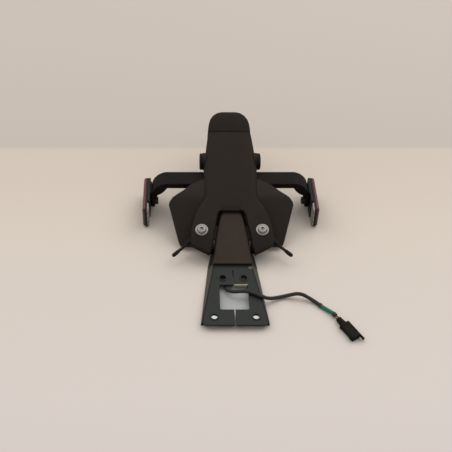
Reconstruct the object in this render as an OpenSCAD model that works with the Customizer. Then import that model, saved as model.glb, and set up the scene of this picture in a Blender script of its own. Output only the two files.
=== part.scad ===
// Tail tidy for a motorbike: a folded steel arm with a level mounting plate,
// moulded covers over it, a number plate panel, a cross bracket with side
// reflectors, a lamp in the end cap, and the lamp's lead with its connector.
// Lengths are millimetres. Z is up and the mounting plate is level. Y runs from
// the mounting plate towards the lamp cap, and X is across, zero at the middle.

/* [Mounting plate] */
// Width of the top face at its front edge
plate_front_w = 70; // [64:0.5:84]
// Width of the top face where the arm starts to rise
plate_rear_w = 43.5; // [40:0.5:50]
// Length of the level plate
plate_len = 82.5; // [79:0.5:95]
// Height of the top face over the surface the part lies on
plate_h = 7; // [6:0.5:10]
// Thickness of the folded sheet
sheet_t = 2.5; // [2:0.1:3]
// Spread of each side wall at the rear of the plate
wall_splay = 6; // [4:0.5:7]
// Width of the slit between the two top flaps
slit_w = 1.2; // [0.8:0.1:2]
// Corner chamfer at the front edge
front_chamfer = 4.6; // [3:0.2:6]
// Width of the window across the plate
window_w = 30.8; // [24:0.2:34]
// Length of the window along the plate
window_l = 34.7; // [28:0.1:36]
// Distance from the front edge to the window
window_setback = 20.5; // [18:0.5:22]
// Corner radius of the window
window_r = 2; // [1:0.5:4]

/* [Mounting holes] */
// Bore of the mounting bushes
mount_bore = 6.6; // [6.2:0.1:7]
// Outside diameter of a bush where it passes the sheet
bush_d = 8; // [7.6:0.1:9]
// Diameter of the flange of a bush
bush_flange_d = 9.6; // [9.2:0.1:12]
// Height of the flange of a bush
bush_flange_h = 0.8; // [0.5:0.1:1.5]
// Distance between the two front holes
front_hole_span = 43.6; // [36:0.2:46]
// Distance from the front edge to the front holes
front_hole_setback = 10.7; // [9:0.1:12]
// Distance between the two rear holes
rear_hole_span = 23; // [20:0.2:24]
// Distance from the front edge to the rear holes
rear_hole_setback = 65; // [63.5:0.5:68]

/* [Arm] */
// Angle at which the arm rises behind the plate
arm_rise = 20; // [17:0.5:23]
// Length of the rising stretch, measured along it
rise_len = 98; // [96:0.5:102]
// Width of the arm at the end of the rising stretch
arm_rear_w = 18; // [16:0.5:22]
// Depth of the side walls of the arm
arm_wall_h = 11; // [8:0.5:13]
// Width that the arm's upright walls would have where the rise begins
arm_front_w = 41; // [38:0.5:42]
// Length of the level seat that carries the bracket
seat_len = 52; // [50:0.5:58]
// Width of the seat
seat_w = 44; // [40:0.5:50]

/* [Covers] */
// Height of the top cover over the arm, square to the slope
cover_rise = 7.4; // [6.8:0.1:9]
// Wall of the moulded covers
cover_t = 2.6; // [2:0.1:3]
// Depth of the top cover's side walls below the arm's face at the rear
cover_depth = 16; // [12:0.5:20]
// Width over the two prongs
prong_span = 95; // [92:0.5:100]
// Width of the hump
hump_w = 64; // [60:0.5:68]
// Width of the hump at the cap seam
seam_w = 53; // [50:0.5:56]
// Distance along the slope from the bend to the cap seam
seam_u = 171; // [168:0.5:176]
// Distance along the slope from the bend to the top of the fork
fork_u = 66.5; // [62:0.5:70]
// Width of the fork where the prongs end
fork_front_w = 51; // [48:0.5:54]
// Height of the arm cover over the arm, square to the slope
arm_cover_rise = 3; // [2.8:0.1:3.6]
// Width of the arm cover at its front edge
arm_cover_front_w = 44.4; // [42:0.2:48]

/* [Cover screws] */
// Distance from a prong's outer edge to the cover screw in it
screw_edge = 13.4; // [11:0.2:15]
// Distance along the slope from the bend to the cover screws
screw_u = 41; // [38:0.5:44]
// Diameter of the screws' thread
screw_d = 6; // [5:0.5:6]
// Diameter of the flange under a screw head
screw_flange_d = 14.2; // [12:0.1:15]
// Height of a button head over its flange
screw_head_h = 3.3; // [2.5:0.1:4]

/* [Lamp cap] */
// Length of the cap behind the seam
cap_len = 40; // [34:0.5:46]
// Thickness of the lens
lens_t = 2; // [1.5:0.1:3]
// Width of the lens
lens_w = 34; // [28:0.5:38]
// Length of the lens
lens_l = 20; // [16:0.5:24]

/* [Plate panel] */
// Thickness of the moulded panel
panel_t = 2.5; // [2:0.1:3]
// Angle of the lower leaf, from level
panel_fall = 37; // [34:0.5:40]
// Length of the lower leaf down its slope
panel_leaf_l = 58; // [52:0.5:60]
// Width of the panel at its widest
panel_w = 143; // [132:1:150]
// Width of the panel at its lower edge
panel_foot_w = 119; // [110:1:126]

/* [Reflector bracket] */
// Thickness of the bracket
bracket_t = 3; // [2:0.1:3.2]
// Width of the strap, front to rear
bracket_w = 22; // [18:0.5:24]
// Depth of the stiffening lip at its front edge
bracket_lip = 5; // [3:0.5:6]
// Outer radius of the two bends at each end
bracket_bend_r = 8; // [6:0.5:12]
// Length of the slanting stretch between the two bends
bracket_slope_l = 11; // [8:0.5:14]
// Angle of the slanting stretch, from level
bracket_slope = 48; // [40:1:55]
// Width of the end flange, front to rear
flange_w = 26; // [22:0.5:30]
// Height of the end flange's lower edge over the surface
flange_foot = 8; // [6:0.5:10]
// Thickness of the spacer block between the flange and the reflector
spacer_t = 3.6; // [2:0.2:6]

/* [Reflectors] */
// Width over both reflectors
reflector_span = 205.6; // [200:0.2:212]
// Length of a reflector, front to rear
reflector_l = 57; // [52:0.2:60]
// Height of a reflector
reflector_h = 28.6; // [25:0.2:30]
// Thickness of the lens at its middle
reflector_lens_t = 3.4; // [2:0.1:4]
// Thickness of the carrier behind the lens
carrier_t = 2.2; // [1.8:0.1:3]
// Thickness of the ribbed back plate
backing_t = 1.2; // [1:0.1:1.6]

/* [Indicator bushes] */
// Diameter of the bush's outer face
indicator_d = 20; // [16:0.5:21]
// Bore for the indicator's stem
indicator_bore = 8.4; // [8:0.1:10]
// How far the bush stands out of the cover
indicator_out = 4.4; // [4:0.2:7]
// Distance along the slope from the bend to the bush
indicator_u = 136.5; // [134:0.5:140]

/* [Locating pegs] */
// Diameter of a peg
peg_d = 4; // [3:0.1:4.4]
// Length of the free part of a peg
peg_len = 23; // [18:0.5:26]

/* [Lead] */
// Diameter of the lamp's lead
lead_d = 4; // [3.6:0.1:4.2]

/* [Hidden] */

$fn = 48;
// Running clearance between pieces that seat on each other
fit = 0.3;
// Overlap that joins two volumes of one solid
lap = 0.6;
// Depth that a cut runs past the face it opens
over = 1;
both = [-1, 1];

// The second bend and the level seat behind it
seat_y = plate_len + rise_len * cos(arm_rise);
seat_z = plate_h + rise_len * sin(arm_rise);

// The bracket lies on the seat and the panel's tongue on the bracket
bracket_setback = 4.5;
bracket_y = seat_y + bracket_setback;
bracket_top = seat_z + bracket_t;
bolt_span = 24;
bolt_y = bracket_y + bracket_w * 0.6;
bolt_d = 6;
bolt_clear = 0.6;

// Overall length, which sets the middle of the part
cap_end_u = seam_u + cap_len;
cap_foot_w = -cover_depth;
rear_y = plate_len + cap_end_u * cos(arm_rise) - cap_foot_w * sin(arm_rise);
mid_y = rear_y / 2;

// Reflector stack, from the outer face inwards
lens_x = reflector_span / 2 - reflector_lens_t;
carrier_x = lens_x - carrier_t;
backing_x = carrier_x - backing_t;
flange_x = backing_x - spacer_t;
reflector_y = bracket_y + bracket_w / 2 - 10.3;
reflector_r = 4;
stud_d = 5;
stud_z = reflector_h / 2 + 1.5;
stud_y = reflector_y + 1.5;
stud_nut_flats = 8;
stud_nut_h = 4.4;
stud_out = backing_t + spacer_t + bracket_t + stud_nut_h + 1;
flange_y = bracket_y + bracket_w / 2 - 1;

// Half width of the top cover at a distance u along the slope
shoulder_u = fork_u + 24.5;
prong_front_u = 13.5;
prong_taper_u = 27.5;
function mix(a, b, t) = a + (b - a) * t;
function ease(t) = t <= 0 ? 0 : t >= 1 ? 1 : t * t * (3 - 2 * t);
function prong_half(u) = prong_span / 2 - 0.0045 * pow(max(0, u - prong_taper_u), 2);
function hump_half(u) = mix(hump_w / 2, seam_w / 2, pow(max(0, (u - shoulder_u - 24) / (seam_u - shoulder_u - 24)), 1.4));
function cover_half(u) = u < shoulder_u
    ? mix(prong_half(u), hump_w / 2, ease((u - fork_u - 2) / (shoulder_u - fork_u - 2)))
    : hump_half(u);
// Bevel between the flat top and the side wall
prong_bevel = 3;
hump_bevel = 7;
function bevel_at(u) = mix(prong_bevel, hump_bevel, ease((u - 52) / 36));

// Cross section of a moulded cover: flat top, rounded bevel, side wall with draft
bevel_steps = 8;
draft = 0.7;
function cover_section(half, top, foot, bevel) = let (
    right = concat([[half + draft, foot]],
        [for (i = [0 : bevel_steps]) let (a = 90 * i / bevel_steps)
            [half - bevel + bevel * cos(a), top - bevel + bevel * sin(a)]]),
    left = [for (i = [len(right) - 1 : -1 : 0]) [-right[i][0], right[i][1]]])
    concat(right, left);

// Closed skin through a list of sections, each placed at its own u
module skin(sections, stations) {
    n = len(sections[0]);
    rows = len(sections);
    points = [for (r = [0 : rows - 1]) for (p = sections[r]) [p[0], stations[r], p[1]]];
    sides = [for (r = [0 : rows - 2]) for (k = [0 : n - 1])
        [r * n + k, r * n + (k + 1) % n, (r + 1) * n + (k + 1) % n, (r + 1) * n + k]];
    caps = [[for (k = [n - 1 : -1 : 0]) k], [for (k = [0 : n - 1]) (rows - 1) * n + k]];
    polyhedron(points, concat(sides, caps), convexity = 6);
}

// Places its children in the frame of the slope: y runs up it, z is square to it
module on_slope() {
    translate([0, plate_len, plate_h]) rotate([arm_rise, 0, 0]) children();
}

// Puts the middle of the part's length at the origin
module centred() {
    translate([0, -mid_y, 0]) children();
}

// A plan outline given as [x, y] points for the right half, mirrored to the left
function mirrored(half) = concat(half, [for (i = [len(half) - 1 : -1 : 0]) [-half[i][0], half[i][1]]]);

// A rounded rectangle about the origin
module rounded_plan(w, l, r) {
    hull() for (x = both, y = both) translate([x * (w / 2 - r), y * (l / 2 - r)]) circle(r, $fn = 24);
}

// A side wall of the plate: a sheet that splays outwards towards the rear
module plate_wall(side) {
    yf = front_chamfer;
    yr = plate_len + 1;
    xf = plate_front_w / 2;
    xr = plate_rear_w / 2;
    foot_f = 1.1;
    foot_r = wall_splay;
    t = sheet_t;
    pts = [[xf - t, yf, plate_h - lap], [xf, yf, plate_h - lap], [xf + foot_f, yf, 0], [xf + foot_f - t, yf, 0],
           [xr - t, yr, plate_h - lap], [xr, yr, plate_h - lap], [xr + foot_r, yr, 0], [xr + foot_r - t, yr, 0]];
    faces = [[0, 1, 2], [0, 2, 3], [4, 6, 5], [4, 7, 6], [0, 4, 5], [0, 5, 1], [1, 5, 6], [1, 6, 2],
             [2, 6, 7], [2, 7, 3], [3, 7, 4], [3, 4, 0]];
    mirror([side < 0 ? 1 : 0, 0, 0]) polyhedron(pts, faces);
}

module plate_outline() {
    polygon(mirrored([[plate_front_w / 2 - front_chamfer, 0], [plate_front_w / 2, front_chamfer],
                      [plate_rear_w / 2, plate_len + 1]]));
}

module mount_hole_places() {
    for (s = both) translate([s * front_hole_span / 2, front_hole_setback, 0]) children();
    for (s = both) translate([s * rear_hole_span / 2, rear_hole_setback, 0]) children();
}

// Half width of the arm's upright walls between the two bends
taper_len = rise_len - 28;
function arm_half(u) = mix(arm_front_w / 2, arm_rear_w / 2, min(1, u / taper_len));

// Neck behind the first bend, where the plate's splayed walls run on up the slope
neck_l = 16;
neck_h = 7;
neck_in = 2.6;
neck_splay_end = 5;
module neck_wall(side) {
    t = sheet_t;
    xf = plate_rear_w / 2;
    xr = xf - neck_in;
    pts = [[xf - t, -0.5, -lap], [xf, -0.5, -lap], [xf + wall_splay, -0.5, -neck_h], [xf + wall_splay - t, -0.5, -neck_h],
           [xr - t, neck_l, -lap], [xr, neck_l, -lap], [xr + neck_splay_end, neck_l, -neck_h + 1],
           [xr + neck_splay_end - t, neck_l, -neck_h + 1]];
    faces = [[0, 1, 2], [0, 2, 3], [4, 6, 5], [4, 7, 6], [0, 4, 5], [0, 5, 1], [1, 5, 6], [1, 6, 2],
             [2, 6, 7], [2, 7, 3], [3, 7, 4], [3, 4, 0]];
    mirror([side < 0 ? 1 : 0, 0, 0]) polyhedron(pts, faces);
}

screw_span = prong_span - 2 * screw_edge;
ear_w = 17;
module arm_ears() {
    translate([0, screw_u, -sheet_t]) linear_extrude(sheet_t) difference() {
        hull() for (s = both) translate([s * screw_span / 2, 0]) circle(d = ear_w);
        for (s = both) translate([s * screw_span / 2, 0]) circle(d = screw_d + bolt_clear);
    }
}

module mounting_arm() {
    color([0.2, 0.22, 0.24]) centred() difference() {
        union() {
            translate([0, 0, plate_h - sheet_t]) linear_extrude(sheet_t) plate_outline();
            for (s = both) plate_wall(s);
            on_slope() {
                translate([0, 0, -sheet_t]) linear_extrude(sheet_t)
                    polygon(mirrored([[plate_rear_w / 2, -0.5], [plate_rear_w / 2 - neck_in, neck_l],
                                      [arm_half(neck_l), neck_l], [arm_half(taper_len), taper_len],
                                      [arm_half(rise_len), rise_len + 0.4]]));
                for (s = both) translate([0, 0, -arm_wall_h]) linear_extrude(arm_wall_h - lap)
                    polygon([[s * arm_half(neck_l), neck_l], [s * arm_half(taper_len), taper_len],
                             [s * arm_half(rise_len), rise_len], [s * (arm_half(rise_len) - sheet_t), rise_len],
                             [s * (arm_half(taper_len) - sheet_t), taper_len], [s * (arm_half(neck_l) - sheet_t), neck_l]]);
                for (s = both) neck_wall(s);
                arm_ears();
            }
            translate([-seat_w / 2, seat_y - 0.6, seat_z - sheet_t]) cube([seat_w, seat_len + 0.6, sheet_t]);
            for (s = both) translate([s * (seat_w / 2 - sheet_t / 2) - sheet_t / 2, seat_y + 2, seat_z - 7])
                cube([sheet_t, seat_len - 4, 7 - lap]);
        }
        // Slit between the flaps, and the window
        translate([-slit_w / 2, -over, plate_h - sheet_t - over])
            cube([slit_w, plate_len - 6 + over, sheet_t + 2 * over]);
        translate([0, window_setback + window_l / 2, plate_h - sheet_t - over])
            linear_extrude(sheet_t + 2 * over) rounded_plan(window_w, window_l, window_r);
        translate([0, 0, plate_h - sheet_t - over]) mount_hole_places()
            cylinder(d = bush_d, h = sheet_t + 2 * over);
        // Nothing of the walls hangs under the surface the part lies on
        translate([-60, 0, -20]) cube([120, 120, 20]);
        // Bolt holes in the seat, and the holes for the hump screws
        for (s = both) translate([s * bolt_span / 2, bolt_y, seat_z - sheet_t - over])
            cylinder(d = bolt_d + bolt_clear, h = sheet_t + 2 * over);
        for (s = both) translate([s * hump_boss_span / 2, hump_boss_y, seat_z - sheet_t - over])
            cylinder(d = hump_screw_d + bolt_clear, h = sheet_t + 2 * over);
        translate([rivet_x, rivet_y, plate_h - sheet_t - over]) cylinder(d = rivet_d, h = sheet_t + 2 * over);
    }
}

// Pressed bushes that line the four mounting holes
module mount_bushes() {
    color([0.12, 0.12, 0.13]) centred() translate([0, 0, plate_h]) mount_hole_places() difference() {
        union() {
            translate([0, 0, -sheet_t]) cylinder(d = bush_d, h = sheet_t + lap);
            cylinder(d = bush_flange_d, h = bush_flange_h);
        }
        translate([0, 0, -sheet_t - over]) cylinder(d = mount_bore, h = sheet_t + bush_flange_h + 2 * over);
    }
}

// Moulded cover over the rising arm, between the prongs
arm_cover_front_u = 2;
arm_cover_depth = 7.4;
arm_cover_end_u = 88;
function arm_cover_half(u) = arm_cover_front_w / 2 - 0.082 * (u - arm_cover_front_u)
    - 0.00121 * pow(u - arm_cover_front_u, 2);
arm_cover_stations = [arm_cover_front_u, 9, 16, 23, 30, 37, 44, 51, 58, 65, 72, 80, arm_cover_end_u];
module arm_cover() {
    t = cover_t - 0.4;
    color([0.23, 0.19, 0.165]) centred() on_slope() difference() {
        skin([for (u = arm_cover_stations) cover_section(max(arm_cover_half(u), arm_half(u) + fit + t + 0.1),
              arm_cover_rise, -arm_cover_depth, 3)], arm_cover_stations);
        // Hollow that the arm fills
        translate([0, 0, -arm_wall_h]) linear_extrude(arm_wall_h + fit)
            polygon(mirrored([[arm_half(0) + fit, -5], [arm_half(0) + fit, 0], [arm_half(taper_len) + fit, taper_len],
                              [arm_half(arm_cover_end_u) + fit, arm_cover_end_u + 2]]));
        // Above the neck the cover has no side walls
        translate([-prong_span / 2, -over, -arm_wall_h - over])
            cube([prong_span, neck_l + fit + over, arm_wall_h + over + fit]);
        // Slots that clear the ears of the arm
        translate([-prong_span / 2, screw_u - ear_w / 2 - fit, -arm_wall_h - over])
            cube([prong_span, ear_w + 2 * fit, arm_wall_h + over + fit]);
    }
}

// Side view of the top cover's lower edge, which clears the panel and the bracket
panel_fold_u = fork_u + 18;
panel_sink = 3.4;
panel_top_w = cover_rise - panel_sink;
prong_foot = -3;
panel_bend = panel_fall - arm_rise;
leaf_meets_u = panel_fold_u - (panel_top_w + fit - prong_foot) / tan(panel_bend);
function slope_u(y, z) = (y - plate_len) * cos(arm_rise) + (z - plate_h) * sin(arm_rise);
function slope_w(y, z) = (z - plate_h) * cos(arm_rise) - (y - plate_len) * sin(arm_rise);
function level_w(u, z) = ((z - plate_h) - u * sin(arm_rise)) / cos(arm_rise);
step_y = bracket_y + bracket_w + 1;
step_z = bracket_top + fit;
panel_end_u = panel_fold_u + 24.5;
module cover_side() {
    polygon([[0, cover_rise + 5], [seam_u, cover_rise + 5], [seam_u, -cover_depth],
             [slope_u(step_y, step_z) + 5, -cover_depth],
             [slope_u(step_y, step_z), slope_w(step_y, step_z)],
             [panel_end_u + fit, level_w(panel_end_u + fit, step_z)],
             [panel_end_u + fit, panel_top_w + fit],
             [panel_fold_u, panel_top_w + fit], [leaf_meets_u, prong_foot], [0, prong_foot]]);
}

cover_stations = [8, 16, 24, 30, 36, 42, 48, 54, 59, 64, 68, 71, 74, 77, 80, 83, 86, 91, 98, 108, 120, 132, 144, 156, 164,
                  seam_u];
function cover_sections(inset) = [for (u = cover_stations)
    cover_section(cover_half(u) - draft - inset, cover_rise - inset, -cover_depth - 1, bevel_at(u))];

// Plan of the fork between the prongs, open towards the front: its right edge as
// narrowings from the front width, each at its own u, then a rounded corner
fork_edge = [[-1, -5], [0, 12.5], [2.7, 22], [4.1, 37.4], [6.7, 47.4], [8.2, fork_u - 9]];
fork_top_half = fork_front_w * 0.2;
fork_corner_l = 8.5;
fork_steps = 8;
module fork_plan(grow) {
    a = fork_front_w / 2 + grow;
    corner_x = a - 8.4;
    polygon(mirrored(concat([for (p = fork_edge) [a - p[0], p[1]]],
        [for (i = [0 : fork_steps]) let (t = 90 * i / fork_steps)
            [mix(corner_x, fork_top_half, 1 - cos(t)), fork_u + grow - fork_corner_l * (1 - sin(t))]])));
}

// Shallow ramp in the top face that runs down to the head of the fork
ramp_l = 8;
ramp_drop = 1.7;
module fork_ramp() {
    rotate([90, 0, 90]) translate([0, 0, -fork_top_half]) linear_extrude(2 * fork_top_half)
        polygon([[fork_u - over, cover_rise + over], [fork_u - over, cover_rise - ramp_drop],
                 [fork_u, cover_rise - ramp_drop], [fork_u + ramp_l, cover_rise], [fork_u + ramp_l, cover_rise + over]]);
}

// Slanted ends of the prongs, seen in plan
prong_slant = 12;
lip_end_u = prong_front_u + 36;
module prong_ends(back) {
    for (s = both) polygon([[0, -5], [s * (fork_front_w / 2 - 2), prong_front_u + back - 0.8],
        [s * (prong_span / 2 + 4), prong_front_u + prong_slant + 2.4 + back], [s * (prong_span / 2 + 4), -5]]);
}

hump_boss_span = 26;
hump_boss_y = seat_y + seat_len - 8;
hump_boss_d = 9;
hump_screw_d = 5;
screw_boss_d = 15;
module top_cover() {
    color([0.17, 0.16, 0.145]) centred() difference() {
        union() {
            on_slope() difference() {
                intersection() {
                    skin(cover_sections(0), cover_stations);
                    rotate([90, 0, 90]) translate([0, 0, -prong_span]) linear_extrude(2 * prong_span) cover_side();
                }
                // Hollow inside, which leaves the walls round the fork and the prongs' ends
                difference() {
                    skin(cover_sections(cover_t), [for (u = cover_stations) u == seam_u ? u + over : u]);
                    translate([0, 0, arm_cover_rise + fit]) linear_extrude(cover_rise) fork_plan(cover_t);
                    translate([0, 0, 0.5]) linear_extrude(cover_rise) intersection() {
                        fork_plan(cover_t);
                        translate([-prong_span / 2, -over]) square([prong_span, lip_end_u + over]);
                    }
                    translate([0, 0, -cover_depth]) linear_extrude(cover_rise + cover_depth) prong_ends(cover_t);
                }
                translate([0, 0, -cover_depth - over]) linear_extrude(2 * cover_rise + cover_depth) fork_plan(0);
                translate([0, 0, -cover_depth - over]) linear_extrude(2 * cover_rise + cover_depth) prong_ends(0);
                fork_ramp();
            }
            on_slope() {
                // Bosses that the cover screws clamp on the arm's ears
                for (s = both) translate([s * screw_span / 2, screw_u, 0])
                    cylinder(d = screw_boss_d, h = cover_rise - 0.2);
                // Flat round pads that the indicator bushes seat on
                for (s = both) translate([s * (pad_x - pad_l / 2), indicator_u, indicator_w]) rotate([0, 90, 0])
                    cylinder(d = indicator_d + 1, h = pad_l, center = true);
                // Sockets of the locating pegs
                for (s = both) peg_frame(s) translate([0, 0, -6.5]) cylinder(d = peg_socket_d, h = 6.5);
            }
            // Posts of the hump screws, which stand on the arm's seat
            for (s = both) translate([s * hump_boss_span / 2, hump_boss_y, seat_z])
                cylinder(d = hump_boss_d, h = hump_boss_h);
        }
        on_slope() {
            for (s = both) translate([s * screw_span / 2, screw_u, -over])
                cylinder(d = screw_d + bolt_clear, h = cover_rise + 2 * over);
            for (s = both) translate([s * pad_x, indicator_u, indicator_w]) rotate([0, 90, 0])
                cylinder(d = bush_neck_d, h = 4 * pad_l, center = true);
            for (s = both) peg_frame(s) translate([0, 0, -5]) cylinder(d = peg_d + 2 * peg_fit, h = 6);
        }
        for (s = both) translate([s * hump_boss_span / 2, hump_boss_y, seat_z - over])
            cylinder(d = hump_screw_d, h = hump_screw_l - sheet_t + 2 + over);
    }
}
hump_boss_h = (hump_boss_y - plate_len) * tan(arm_rise) + plate_h + (cover_rise - cover_t / 2) / cos(arm_rise) - seat_z
    - hump_boss_d / 2 * tan(arm_rise);

// The cap that closes the hump and houses the lamp
cap_t = 2.4;
cap_u = [0, 8, 17, 25, 31, 35.5, 38.5, 40];
cap_drop = [0, 0.6, 2.2, 5, 8.4, 12, 15.2, 17.8];
cap_in = [0.4, 0.5, 1.2, 3, 5.8, 9, 12.5, 16];
cap_bevel = [hump_bevel, hump_bevel, hump_bevel, 6.8, 6.4, 5.9, 5.4, 5];
function cap_section(i, inset) = let (top = cover_rise - cap_drop[i] - inset, foot = cap_foot_w + (inset > 0 ? cap_t : 0))
    cover_section(seam_w / 2 - cap_in[i] - draft - inset, top, foot, min(cap_bevel[i] - inset * 0.6, (top - foot) * 0.9));
spigot_l = 4;
function spigot_section(inset) = cover_section(seam_w / 2 - draft - cover_t - fit - 0.6 - inset,
    cover_rise - cover_t - fit - inset, cap_foot_w + cap_t, hump_bevel - inset * 0.6);
module lamp_cap() {
    scale_u = cap_len / 40;
    color([0.1, 0.1, 0.1]) centred() on_slope() difference() {
        union() {
            skin([for (i = [0 : 7]) cap_section(i, 0)], [for (u = cap_u) seam_u + fit + (u * scale_u) * (1 - fit / cap_len)]);
            // Spigot that plugs into the hump
            skin([for (i = [0, 1]) spigot_section(0)], [seam_u - spigot_l, seam_u + 4]);
        }
        skin([for (i = [0 : 6]) cap_section(i, cap_t)], [for (i = [0 : 6]) seam_u + (i == 0 ? 2 : cap_u[i] * scale_u - 1.6)]);
        skin([for (i = [0, 1]) spigot_section(1.6)], [seam_u - spigot_l - over, seam_u + 6]);
        // Window for the lens
        translate([0, lamp_u, cap_foot_w - over]) linear_extrude(cap_t + 2 * over)
            rounded_plan(lens_w - 4, lens_l - 4, 3);
        translate([0, lamp_u, cap_foot_w - over]) linear_extrude(lens_seat + over)
            rounded_plan(lens_w + 2 * fit, lens_l + 2 * fit, 4);
        for (s = both) translate([s * cap_screw_span / 2, lamp_u, cap_foot_w - over])
            cylinder(d = cap_screw_d, h = cap_t + 2 * over);
    }
}
lamp_u = seam_u + 15;
lens_seat = 1.2;
cap_screw_span = lens_w + 8;
cap_screw_d = 3;

module lamp_lens() {
    color([0.85, 0.88, 0.9]) centred() on_slope() translate([0, lamp_u, cap_foot_w + lens_seat - lens_t])
        linear_extrude(lens_t) rounded_plan(lens_w, lens_l, 4);
}

// Frame of rubber between the lens and the cap
gasket_t = 0.5;
module lamp_gasket() {
    color([0.06, 0.06, 0.06]) centred() on_slope() translate([0, lamp_u, cap_foot_w + cap_t]) linear_extrude(gasket_t)
        difference() {
            rounded_plan(lens_w + 1, lens_l + 1, 4);
            rounded_plan(lens_w - 5, lens_l - 5, 3);
        }
}

board_t = 1.6;
board_z = cap_foot_w + cap_t + gasket_t;
module lamp_board() {
    color([0.1, 0.35, 0.2]) centred() on_slope() translate([0, lamp_u, board_z]) linear_extrude(board_t)
        rounded_plan(lens_w, lens_l, 2);
}

module lamp_leds() {
    color([0.95, 0.9, 0.6]) centred() on_slope() for (x = [-8, 0, 8])
        translate([x - 1.75, lamp_u - 1.5, board_z - 1.4]) cube([3.5, 3, 1.4]);
}

cap_screw_head_d = 5.6;
cap_screw_head_h = 1.6;
cap_screw_l = 8;
module cap_screws() {
    color([0.3, 0.3, 0.3]) centred() on_slope() for (s = both)
        translate([s * cap_screw_span / 2, lamp_u, cap_foot_w]) {
            translate([0, 0, -cap_screw_head_h]) cylinder(d1 = cap_screw_head_d * 0.8, d2 = cap_screw_head_d, h = cap_screw_head_h);
            translate([0, 0, -fit]) cylinder(d = cap_screw_d - 0.2, h = cap_screw_l + fit);
        }
}

// Button head on a flange, with a hexagon socket; the thread runs down
module button_screw(flange_d, head_d, head_h, thread_d, length) {
    flange_t = 1.2;
    difference() {
        union() {
            cylinder(d = flange_d, h = flange_t);
            translate([0, 0, flange_t]) intersection() {
                cylinder(d = head_d, h = head_h - flange_t);
                translate([0, 0, head_h - flange_t - head_d * 0.72]) sphere(d = head_d * 1.44);
            }
            translate([0, 0, -length]) cylinder(d = thread_d, h = length + lap);
        }
        translate([0, 0, head_h - 2]) cylinder(d = thread_d * 0.77, h = 3, $fn = 6);
    }
}

// Sizes of the hexagon nuts on the cover screws and the bracket bolts
nut_flats = 10;
nut_h = 5;
module cover_screws() {
    color([0.62, 0.62, 0.6]) centred() on_slope() for (s = both)
        translate([s * screw_span / 2, screw_u, cover_rise])
            button_screw(screw_flange_d, screw_d * 1.75, screw_head_h, screw_d, cover_rise + sheet_t + nut_h);
}

// Flanged hexagon nut with its flange towards z = 0, hanging below it
module hex_nut(thread_d, flats, h) {
    difference() {
        translate([0, 0, -h]) union() {
            cylinder(d = flats / cos(30), h = h, $fn = 6);
            translate([0, 0, h - 1]) cylinder(d = flats * 1.3, h = 1);
        }
        translate([0, 0, -h - over]) cylinder(d = thread_d + 0.1, h = h + 2 * over);
    }
}

module cover_nuts() {
    color([0.55, 0.56, 0.55]) centred() on_slope() for (s = both)
        translate([s * screw_span / 2, screw_u, -sheet_t]) hex_nut(screw_d, nut_flats, nut_h);
}

// Screws from below that hold the hump on the seat
hump_screw_head_d = 9;
hump_screw_head_h = 2.6;
hump_screw_l = 13.5;
module hump_screws() {
    color([0.3, 0.3, 0.32]) centred() for (s = both)
        translate([s * hump_boss_span / 2, hump_boss_y, seat_z - sheet_t]) {
            translate([0, 0, -hump_screw_head_h]) cylinder(d = hump_screw_head_d, h = hump_screw_head_h);
            cylinder(d = hump_screw_d - 0.2, h = hump_screw_l);
        }
}

// The panel behind which the number plate is fixed: an upper leaf under the hump,
// two lower leaves that fall towards the surface, and a tongue on the bracket
panel_notch = 27;
notch_full = 12;
notch_head = 7;
tongue_w = bolt_span + 14;
foot_corner = 8;
wing_corner = [[0.8, 12], [0, 9], [0.6, 5.5], [4.4, 0], [9.4, -4.2], [16, -9], [25, -17.3]];
wing_end = [1.4, 1.5];
gusset_x = 16;
gusset_w = 6;
gusset_front = 8;
gusset_l = 14;
panel_neck = arm_rear_w / 2 + 5.5;
function leaf_u(d) = panel_fold_u - d * cos(panel_bend);
module panel_profile() {
    foot_u = leaf_u(panel_leaf_l);
    foot_w = panel_top_w - panel_leaf_l * sin(panel_bend);
    polygon([[foot_u, foot_w], [panel_fold_u, panel_top_w], [panel_end_u + over, panel_top_w],
             [panel_end_u + over, panel_top_w - panel_t],
             [panel_fold_u + panel_t * tan(panel_bend / 2), panel_top_w - panel_t],
             [foot_u + panel_t * sin(panel_bend), foot_w - panel_t * cos(panel_bend)]]);
}

module panel_outline() {
    difference() {
        polygon(mirrored(concat(
            [[panel_foot_w / 2 - foot_corner * 0.62, leaf_u(panel_leaf_l) - over],
             [panel_foot_w / 2 - foot_corner * 0.38, leaf_u(panel_leaf_l - foot_corner * 0.08)],
             [panel_foot_w / 2 - foot_corner * 0.08, leaf_u(panel_leaf_l - foot_corner * 0.38)],
             [panel_foot_w / 2 + foot_corner * 0.15, leaf_u(panel_leaf_l - foot_corner)]],
            [for (c = wing_corner) [panel_w / 2 - c[0], leaf_u(c[1])]],
            [[hump_w / 2 + wing_end[0], panel_end_u - wing_end[1]], [hump_w / 2 - foot_corner, panel_end_u]])));
        // Opening for the arm and the prongs, narrower at its head
        polygon(mirrored([[panel_notch + 2, leaf_u(panel_leaf_l) - 2 * over], [panel_notch, leaf_u(notch_full)],
                          [panel_notch - 5, leaf_u(notch_head)], [panel_neck, leaf_u(notch_head)],
                          [panel_neck, leaf_u(-notch_head)]]));
    }
}

module plate_panel() {
    color([0.17, 0.165, 0.155]) centred() difference() {
        union() {
            on_slope() intersection() {
                rotate([90, 0, 90]) translate([0, 0, -panel_w]) linear_extrude(2 * panel_w) panel_profile();
                translate([0, 0, -panel_leaf_l]) linear_extrude(2 * panel_leaf_l) panel_outline();
            }
            // Level tongue that lies on the bracket
            translate([-tongue_w / 2, bracket_y - 2, bracket_top]) cube([tongue_w, bracket_w + 1, panel_t]);
            for (s = both) translate([s * gusset_x - gusset_w / 2, bracket_y - gusset_front, 0]) panel_gusset();
        }
        for (s = both) translate([s * bolt_span / 2, bolt_y, bracket_top - over])
            cylinder(d = bolt_d + bolt_clear, h = panel_t + 2 * over);
    }
}

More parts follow.
